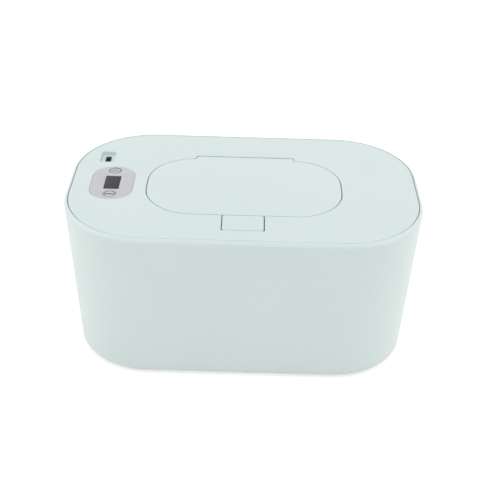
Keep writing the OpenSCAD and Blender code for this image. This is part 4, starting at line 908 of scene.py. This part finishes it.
def makePanel():
    # A thin plate: its rim is carried round the panel's outline, each key hole is a lathe lip and
    # the window's hole a lip carried round a small-cornered rectangle.
    p = panel
    seat, top = heightsOf("control_panel")
    edge, lip = p["edge"], p["lip"]
    rim = np.concatenate([[(0.0, seat)], arcPoints(edge, top - edge, edge, 180, 90, 4)])
    slope = lip * 0.3
    windowLip = np.array([(0.0, seat), (0.0, top - lip), (-slope, top - slope), (-lip, top)])
    keyLip = windowLip * (-1.0, 1.0) + (p["keyHole"], 0.0)
    middle, half = planOf("display_window")
    half = half - p["windowCorner"]
    hole = cornerPath(*half, p["windowCorner"] + p["clearance"], middle, 6)
    surfaces = [carried(panelPath(), rim), carried(hole, windowLip)]
    surfaces += [turned(planOf(key)[0], keyLip) for key in ("power_key", "mode_key")]
    makePiece("panel_fascia", surfaces, "lid", "panel_grey", (seat, top), ("control_panel",))
    lens = cornerPath(*half, p["windowCorner"], middle, 6)
    under, edge = p["lensBreak"], p["lensEdge"]
    lensSection = np.concatenate([[(under, seat), (0.0, seat + under)],
                                  arcPoints(edge, top - edge, edge, 180, 90, 3)])
    makePiece("smoked_lens", [carried(lens, lensSection)], "lid", "smoked_window", (seat, top),
              ("display_window",))


def keyTop(radius):
    # Height of a key's faintly dished face at a distance from its middle.
    reach = panel["keyRadius"] - panel["keyEdge"]
    return casing["height"] - panel["keyDish"] * (1 - np.clip(radius / reach, 0, 1) ** 2)


prints = {"raised": 0.012, "sunk": 0.05, "ring": (2.75, 3.2), "sign": (1.15, 1.6),
          "signTurn": (120, 420), "stroke": ((-0.22, 0.5), (0.22, 2.0)),
          "bar": ((-2.3, -0.5), (2.3, 0.5))}
keyShape = {"stem": 1.6, "collarTop": 1.6, "collarThick": 1.0,
            "collarEdges": (0.15, 0.1)}


def sectionFaces(count, closed=False):
    # Quads round a section of four corners that goes on through a count of places; an open run
    # gets a face at each end.
    faces = gridFaces(count, 4, False, True).tolist()
    return faces if closed else faces + [[0, 1, 2, 3], [(count - 1) * 4 + k for k in (3, 2, 1, 0)]]


def printedRing(spot, radii, turn=(0.0, 360.0), steps=64):
    # A print on a key: a ring, or a part of one with flat ends, that lies raised above the face
    # and sinks into it at its edges.
    radius = np.repeat(radii, 2)
    sunk, raised = -prints["sunk"], prints["raised"]
    height = keyTop(radius) + np.array([sunk, raised, raised, sunk])
    turns = np.radians(np.linspace(*turn, steps + 1))
    grid = np.stack([spot[0] + np.outer(np.cos(turns), radius),
                     spot[1] + np.outer(np.sin(turns), radius),
                     np.broadcast_to(height, (steps + 1, 4))], axis=2)
    return grid.reshape(-1, 3), sectionFaces(steps + 1, turn[1] - turn[0] >= 360)


def printedBar(spot, low, high, steps=10):
    # A print in the form of a bar from one corner to the other, bent to the dished face.
    x, y = np.linspace(low[0], high[0], steps), np.repeat([low[1], high[1]], 2)
    along, across = np.meshgrid(x, y, indexing="ij")   # four corners of the section at each step
    sunk, raised = -prints["sunk"], prints["raised"]
    height = keyTop(np.hypot(along, across)) + np.array([sunk, raised, raised, sunk])
    grid = np.stack([along + spot[0], across + spot[1], height], axis=2)
    return grid.reshape(-1, 3), sectionFaces(steps)


def makeKey(name, body, node, marks):
    # Lathe section of a key: stem, collar, side, a rolled edge and a faintly dished top. The signs
    # on it are one thin raised print.
    radius, edge, stem = panel["keyRadius"], panel["keyEdge"], keyShape["stem"]
    spot, (low, high) = planOf(node)[0], nodeBox(node)
    collar, collarTop = (high[0] - low[0]) / 2, low[2] + keyShape["collarTop"]
    collarLow, (lowEdge, topEdge) = collarTop - keyShape["collarThick"], keyShape["collarEdges"]
    across = np.linspace(1, 0, 10)[1:] * (radius - edge)
    section = np.concatenate([
        [(0.0, low[2]), (stem, low[2]), (stem, collarLow), (collar - lowEdge, collarLow),
         (collar, collarLow + lowEdge), (collar, collarTop - topEdge),
         (collar - topEdge, collarTop), (radius, collarTop)],
        arcPoints(radius - edge, high[2] - edge, edge, 0, 90, 4),
        np.stack([across, keyTop(across)], axis=1)])
    makePiece(name, [turned(spot, section, 64)], body, "key_grey", (), (node,), 50)
    makePiece(name + "_print", [printedRing(spot, prints["ring"]), *marks(spot)], body,
              "print_grey", sharp=60)


def makeKeys():
    makeKey("power_button", "power", "power_key", lambda spot: [
        printedRing(spot, prints["sign"], prints["signTurn"]),
        printedBar(spot, *prints["stroke"])])
    makeKey("mode_button", "mode", "mode_key", lambda spot: [printedBar(spot, *prints["bar"])])


heater = {"cornerRadius": 22.0, "plate": 1.2, "edgeRound": 0.9, "edgeBreak": 0.2, "fillet": 0.5,
          "openingX": 19.0, "opening": 17.0, "screwHole": 1.65, "holeRound": 0.3, "holeBreak": 0.1,
          "leadRadius": 0.4, "leadPitch": 1.8, "bend": 1.5, "beadRadius": 0.9, "sway": 0.05}


def makeHeater():
    # A pressed tray with an upturned edge all round and a collar round its opening, both sections
    # carried round their own plans. The screw holes are lathe shapes with a rolled lip.
    h = heater
    low, high = heightsOf("heater_plate")
    plate, bend, edge, fillet = (h[k] for k in ("plate", "edgeRound", "edgeBreak", "fillet"))
    floorTop = low + plate
    outside = cornerPath(casing["cornerX"], casing["cornerY"], h["cornerRadius"], steps=16)
    opening = cornerPath(h["openingX"], 0.0, h["opening"], (0.0, door["middleY"]), 16)
    tray = np.concatenate([
        arcPoints(bend, low + bend, bend, 270, 180, 5), [(0.0, high - edge), (edge, high)],
        [(plate - edge, high), (plate, high - edge)],
        arcPoints(plate + fillet, floorTop + fillet, fillet, 180, 270, 3)])
    collar = tray * (-1.0, 1.0)
    hole = [(h["screwHole"] + h["holeRound"], low), (h["screwHole"], low + h["holeRound"]),
            (h["screwHole"], floorTop - h["holeBreak"]),
            (h["screwHole"] + h["holeBreak"], floorTop)]
    surfaces = [carried(outside, tray), carried(opening, collar)]
    surfaces += [turned(spot, hole, 24) for spot in screwSets["heater_screws"][3]]
    makePiece("heater_tray", surfaces, "lid", "heater_aluminium", (low, floorTop),
              ("heater_plate",))


def makeSensor():
    # Two leads bend up from the bead: each route is a straight, a quarter circle and a straight.
    # The bead is a lathe shape about the Y axis, its radius rounding off to nothing at both ends.
    h = heater
    low, high = nodeBox("temperature_sensor")
    middleY, axisZ = (low[1] + high[1]) / 2, low[2] + h["beadRadius"]
    beadX, riseX = high[0] - h["beadRadius"], low[0] + h["leadRadius"]
    bendX, bendZ = riseX + h["bend"], axisZ + h["bend"]
    arc = arcPoints(bendX, bendZ, h["bend"], 270, 180, 8)
    flat = np.concatenate([[(beadX, axisZ)], arc, [(riseX, high[2])]])
    surfaces = []
    for side in (-0.5, 0.5):
        y = np.full(len(flat), middleY + side * h["leadPitch"])
        surfaces.append(swept(np.stack([flat[:, 0], y, flat[:, 1]], axis=1), h["leadRadius"], 12))
    y = np.linspace(low[1], high[1], 15)
    share = np.clip(np.abs(y - middleY) / ((high[1] - low[1]) / 2), 0, 1)
    radius = h["beadRadius"] * (1 - share ** 4) ** 0.5
    turns = np.linspace(0, 2 * np.pi, 24, endpoint=False)
    grid = np.stack([beadX + np.outer(radius, np.cos(turns)), np.repeat(y[:, None], 24, axis=1),
                     axisZ + np.outer(radius, np.sin(turns))], axis=2)
    surfaces.append((grid.reshape(-1, 3), gridFaces(15, 24, False, True)))
    makePiece("sensor_bead", surfaces, "lid", "sensor_green", (), ("temperature_sensor",), 50)


def makeLeads():
    # Two wires that sway a little on their way up: y = middle + sway * sin(turn).
    h = heater
    (x, middleY), _ = planOf("heater_leads")
    z = np.linspace(*heightsOf("heater_leads"), 9)
    y = middleY + h["sway"] * np.sin(np.linspace(0, 2 * np.pi, 9))
    makePiece("red_leads", [
        swept(np.stack([np.full(9, x), y + side * h["leadPitch"], z], axis=1),
              h["leadRadius"] * 0.95, 14) for side in (-0.5, 0.5)], "lid", "lead_red", (),
        ("heater_leads",), 50)


everyHeight = ((0.0, 100.0),)   # one band over the whole height
softEdged = {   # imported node: name, body, slot, bevel in mm
    "latch_bracket": ("latch_cradle", "lid", "white_pp", 0.25),
    "latch_slider": ("latch_tongue", "latch", "white_pp", 0.2),
    "control_board": ("circuit_board", "lid", "board_green", 0.15),
    "lead_connector": ("lead_housing", "lid", "white_pp", 0.4),
    "thermal_cutoff": ("cutoff_case", "lid", "white_ceramic", 0.6),
    "power_transistor": ("transistor_case", "lid", "black_resin", 0.3),
    "power_switch": ("power_tact", "lid", "black_resin", 0.3),
    "mode_switch": ("mode_tact", "lid", "black_resin", 0.3),
    "led_display": ("digit_module", "lid", "black_resin", 0.4),
}


chip = {"corner": 0.15, "edge": 0.12, "topRoom": 0.15, "legs": 8, "legRoom": 0.75, "firstLeg": 0.8,
        "legRadius": 0.2, "legFlat": (1.0, 0.4), "legTop": 0.09,
        "legOut": (-0.1, 0.2, 0.34, 0.4, 0.46, 0.6, 0.74),     # away from the body
        "legDown": (0.62, 0.62, 0.58, 0.35, 0.08, 0.0, 0.0)}   # down from the body's top


def makeChip():
    # A moulded body with bent legs along both long sides: each leg is a flat section that leaves
    # the body, drops and turns out.
    c = chip
    low, high = nodeBox("microcontroller")
    edges = ((-1, low[1] + c["legRoom"]), (1, high[1] - c["legRoom"]))
    front, rear = edges[0][1], edges[1][1]
    surfaces = [roundBox((low[0], front, low[2]), (high[0], rear, high[2] - c["topRoom"]),
                         c["corner"], c["edge"])]
    z = high[2] - c["legTop"] - np.array(c["legDown"])
    for middle in np.linspace(low[0] + c["firstLeg"], high[0] - c["firstLeg"], c["legs"]):
        for side, edge in edges:
            y = edge + side * np.array(c["legOut"])
            surfaces.append(swept(np.stack([np.full(len(z), middle), y, z], axis=1),
                                  c["legRadius"], 8, c["legFlat"]))
    makePiece("driver_chip", surfaces, "lid", "black_resin", (), ("microcontroller",), 50)


can = {"base": 0.2, "grooveLow": 0.55, "groove": 0.25, "grooveOut": 0.05, "shoulder": 0.4,
       "rim": 0.2, "dent": 0.08}
stemEdge = 0.25


def makeCan():
    # Lathe shape of the capacitor's can, with a rolled groove near its foot.
    c = can
    low, high = heightsOf("filter_capacitor")
    spot, (radius, _) = planOf("filter_capacitor")
    face, inner = high - c["dent"], radius - c["shoulder"]
    section = np.concatenate([
        [(0.0, low), (radius - c["base"], low), (radius, low + c["base"]),
         (radius, low + c["grooveLow"])],
        arcPoints(radius + c["grooveOut"], low + c["grooveLow"] + c["groove"], c["groove"],
                  270, 90, 6),
        arcPoints(inner, high - c["shoulder"], c["shoulder"], 0, 90, 5),
        [(inner - c["rim"], face), (0.0, face)]])
    makePiece("capacitor_can", [turned(spot, section, 40)], "lid", "capacitor_can", (),
              ("filter_capacitor",), 50)


def makeStems():
    # Lathe shapes of the two switch plungers, with round edges at both ends.
    for body in ("power", "mode"):
        low, high = heightsOf(body + "_plunger")
        spot, (radius, _) = planOf(body + "_plunger")
        inner = radius - stemEdge
        section = np.concatenate([
            [(0.0, low), (inner, low)], arcPoints(inner, low + stemEdge, stemEdge, -90, 0, 3),
            arcPoints(inner, high - stemEdge, stemEdge, 0, 90, 3), [(0.0, high)]])
        makePiece(body + "_stem", [turned(spot, section, 32)], body, "black_resin", (),
                  (body + "_plunger",), 50)


inlet = {"corner": 1.3, "sheet": 0.3, "edge": 0.2, "roll": 0.12, "footRoom": 0.05,
         "footTop": 0.85, "footEdge": 0.1, "blade": (0.35, 3.3), "bladeLow": 0.5,
         "bladeCorner": 0.2, "bladeEdge": 0.18, "contacts": 8, "contactReach": 2.5,
         "contactHalf": (0.03, 0.13), "contactEnds": (1.2, 0.5), "contactRound": (0.02, 0.01),
         "mouth": (0.1, 0.05, 0.2)}   # the wall's end, the lip's break and the inside's end


def makeSocket():
    # The shell is a thin section carried round a slot-shaped plan, its mouth rolled; the tongue
    # stands in it with a row of contacts down each face.
    s = inlet
    low, high = heightsOf("usb_socket_shell")
    middle, half = planOf("usb_socket_shell")
    half, sheet, roll = half - s["corner"], s["sheet"], s["roll"]
    outside, lip, inside = s["mouth"]
    section = np.concatenate([
        [(s["edge"], low), (0.0, low + s["edge"]), (0.0, high - outside)],
        arcPoints(roll, high - roll, roll, 180, 90, 3), [(sheet - lip, high - lip)],
        [(sheet, high - inside), (sheet, low + sheet)]])
    makePiece("socket_shell", [carried(cornerPath(*half, s["corner"], middle, 8), section)],
              "lid", "socket_steel", (low, low + sheet), ("usb_socket_shell",))
    low, high = heightsOf("usb_socket_tongue")
    base = cornerPath(*half, s["corner"] - sheet - s["footRoom"], middle, 8)
    footTop = low + s["footTop"]
    foot = [(0.0, low), (0.0, footTop - s["footEdge"]), (s["footEdge"], footTop)]
    thick, wide = s["blade"]
    blade = roundBox((middle[0] - thick, middle[1] - wide, low + s["bladeLow"]),
                     (middle[0] + thick, middle[1] + wide, high), s["bladeCorner"], s["bladeEdge"])
    makePiece("socket_tongue", [carried(base, foot), blade], "lid", "black_resin", (low, footTop),
              ("usb_socket_tongue",))
    (halfX, halfY), (lowEnd, topEnd) = s["contactHalf"], s["contactEnds"]
    contacts = [
        roundBox((x - halfX, y - halfY, low + lowEnd), (x + halfX, y + halfY, high - topEnd),
                 *s["contactRound"], 2)
        for x in (middle[0] - thick, middle[0] + thick)
        for y in middle[1] + np.linspace(-s["contactReach"], s["contactReach"], s["contacts"])]
    makePiece("socket_contacts", contacts, "lid", "socket_steel")


makeCasing()
makeTub()
makeFoam()
makeFeet()
makeScrews()
print("casing, tub, foam, feet and screws are made")
makeLid()
makeDoor()
makeDoorSeal()
makeButton()
makeSpring()
makePanel()
makeKeys()
print("lid, door, button, panel and keys are made")
makeHeater()
makeSensor()
makeLeads()
for node, (name, body, slot, width) in softEdged.items():
    softened(node, name, body, slot, width, everyHeight)
makeChip()
makeCan()
makeStems()
makeSocket()
print("heater, board, socket and latch pieces are made")


view = {
    "azimuth": -0.112, "elevation": 34.110, "roll": 1.691,   # degrees
    "distance": 574.375, "target": (4.290, 0.0, 50.053),     # mm
    "lens": 69.4, "sensor": 36.0, "clip": (0.02, 20.0),      # the clip's distances in metres
}


def placeCamera():
    # The camera stands on a sphere round its target, turned by azimuth and elevation, and rolls
    # about its own line of sight.
    azimuth, elevation, roll = (math.radians(view[k]) for k in ("azimuth", "elevation", "roll"))
    back = Vector((math.sin(azimuth) * math.cos(elevation),
                   -math.cos(azimuth) * math.cos(elevation), math.sin(elevation)))
    right = Vector((math.cos(azimuth), math.sin(azimuth), 0.0))
    upward = back.cross(right)
    across = right * math.cos(roll) + upward * math.sin(roll)
    along = upward * math.cos(roll) - right * math.sin(roll)
    camera = addObject("camera", bpy.data.cameras.new("camera"))
    camera.data.lens, camera.data.sensor_width = view["lens"], view["sensor"]
    camera.data.clip_start, camera.data.clip_end = view["clip"]
    facing = Matrix((across, along, back)).transposed().to_4x4()
    where = (Vector(view["target"]) + back * view["distance"]) * mm
    camera.matrix_world = Matrix.Translation(where) @ facing
    bpy.context.scene.camera = camera


lights = {   # where each softbox stands (mm), its size (mm), its power (W) and its tint
    "topBox": {"at": (0, 60, 1100), "size": (1300, 1000), "power": 3.32,
               "tint": (0.935, 0.98, 1.0)},
    "leftBox": {"at": (-1000, -260, 520), "size": (1400, 1050), "power": 4.85,
                "tint": (1.0, 0.93, 0.905)},
    "rightBox": {"at": (1000, -200, 520), "size": (1400, 1050), "power": 4.85,
                 "tint": (1.0, 0.93, 0.905)},
    "frontBox": {"at": (0, -1200, 500), "size": (1400, 700), "power": 2.02,
                 "tint": (1.0, 0.965, 0.89)},
    "backBox": {"at": (0, 1200, 340), "size": (1400, 600), "power": 1.2,
                "tint": (1.0, 0.97, 0.93)},
}
lampAim = (0, 0, 50)   # mm
surround = {"fill": 0.50, "floorGrey": 0.80, "floorLift": 0.45, "farLift": 0.64,
            "near": 0.5, "far": 2.5,   # the floor's own light, up to and from these radii (m)
            "rings": (0.5, 2.0, 12.0), "sides": 64}


def placeLights():
    for name, values in lights.items():
        lamp = bpy.data.lights.new(name, "AREA")
        lamp.shape = "RECTANGLE"
        lamp.size, lamp.size_y = (side * mm for side in values["size"])
        lamp.energy, lamp.color = values["power"], values["tint"]
        box = addObject(name, lamp)
        box.location = Vector(values["at"]) * mm
        aim = Vector(lampAim) * mm - box.location
        box.rotation_euler = aim.to_track_quat("-Z", "Y").to_euler()


def seenDirectly(tree):
    # 1 for the camera, a reflection or a view through glass, and 0 where light is gathered.
    path = addNode(tree, "ShaderNodeLightPath").outputs
    seen = mathNode(tree, "MAXIMUM", path["Is Camera Ray"], path["Is Glossy Ray"])
    return mathNode(tree, "MAXIMUM", seen, path["Is Transmission Ray"])


def whiteSurround():
    world = bpy.data.worlds.new("surround")
    bpy.context.scene.world = world
    world.use_nodes = True
    tree = world.node_tree
    level = ranged(tree, seenDirectly(tree), 0.0, 1.0, surround["fill"], 1.0)
    background = tree.nodes["Background"]
    background.inputs["Color"].default_value = (1.0, 1.0, 1.0, 1.0)
    joinTo(tree, background.inputs, Strength=level)


def paleFloor():
    # A wide disc: rings of points round the middle, and a flat face inside the first. A camera
    # below it looks through it at the underside.
    mesh = bpy.data.meshes.new("floor")
    turns = np.linspace(0, 2 * np.pi, surround["sides"], endpoint=False)
    rings = spokesOf(surround["rings"], np.zeros(len(surround["rings"])), turns)
    faces = gridFaces(*rings.shape[:2], False, True).tolist() + [list(range(len(turns)))]
    mesh.from_pydata(rings.reshape(-1, 3).tolist(), [], faces)
    floor = addObject("floor", mesh)
    material, tree, principled = startFinish("floor", Roughness=0.9, Specular_IOR_Level=0.1)
    place = addNode(tree, "ShaderNodeTexCoord").outputs["Object"]
    grey = surround["floorGrey"]
    colour = blended(tree, noise(tree, place, 3.0), (grey * 0.99,) * 3, (grey,) * 3)
    principled.inputs["Emission Color"].default_value = (1.0, 1.0, 1.0, 1.0)
    reach = addNode(tree, "ShaderNodeVectorMath", {"operation": "LENGTH"}, _0=place)
    strength = ranged(tree, reach.outputs["Value"], surround["near"], surround["far"],
                      surround["floorLift"], surround["farLift"])
    lift = mathNode(tree, "MULTIPLY", seenDirectly(tree), strength)
    under = addNode(tree, "ShaderNodeNewGeometry").outputs["Backfacing"]
    camera = addNode(tree, "ShaderNodeLightPath").outputs["Is Camera Ray"]
    below = mathNode(tree, "MULTIPLY", under, camera)
    joinTo(tree, principled.inputs, Base_Color=colour, Emission_Strength=lift,
           Alpha=mathNode(tree, "SUBTRACT", 1.0, below))
    mesh.materials.append(material)


placeCamera()
placeLights()
whiteSurround()
paleFloor()
bpy.context.scene.view_settings.view_transform = "Standard"
print("camera, light and floor are in place")
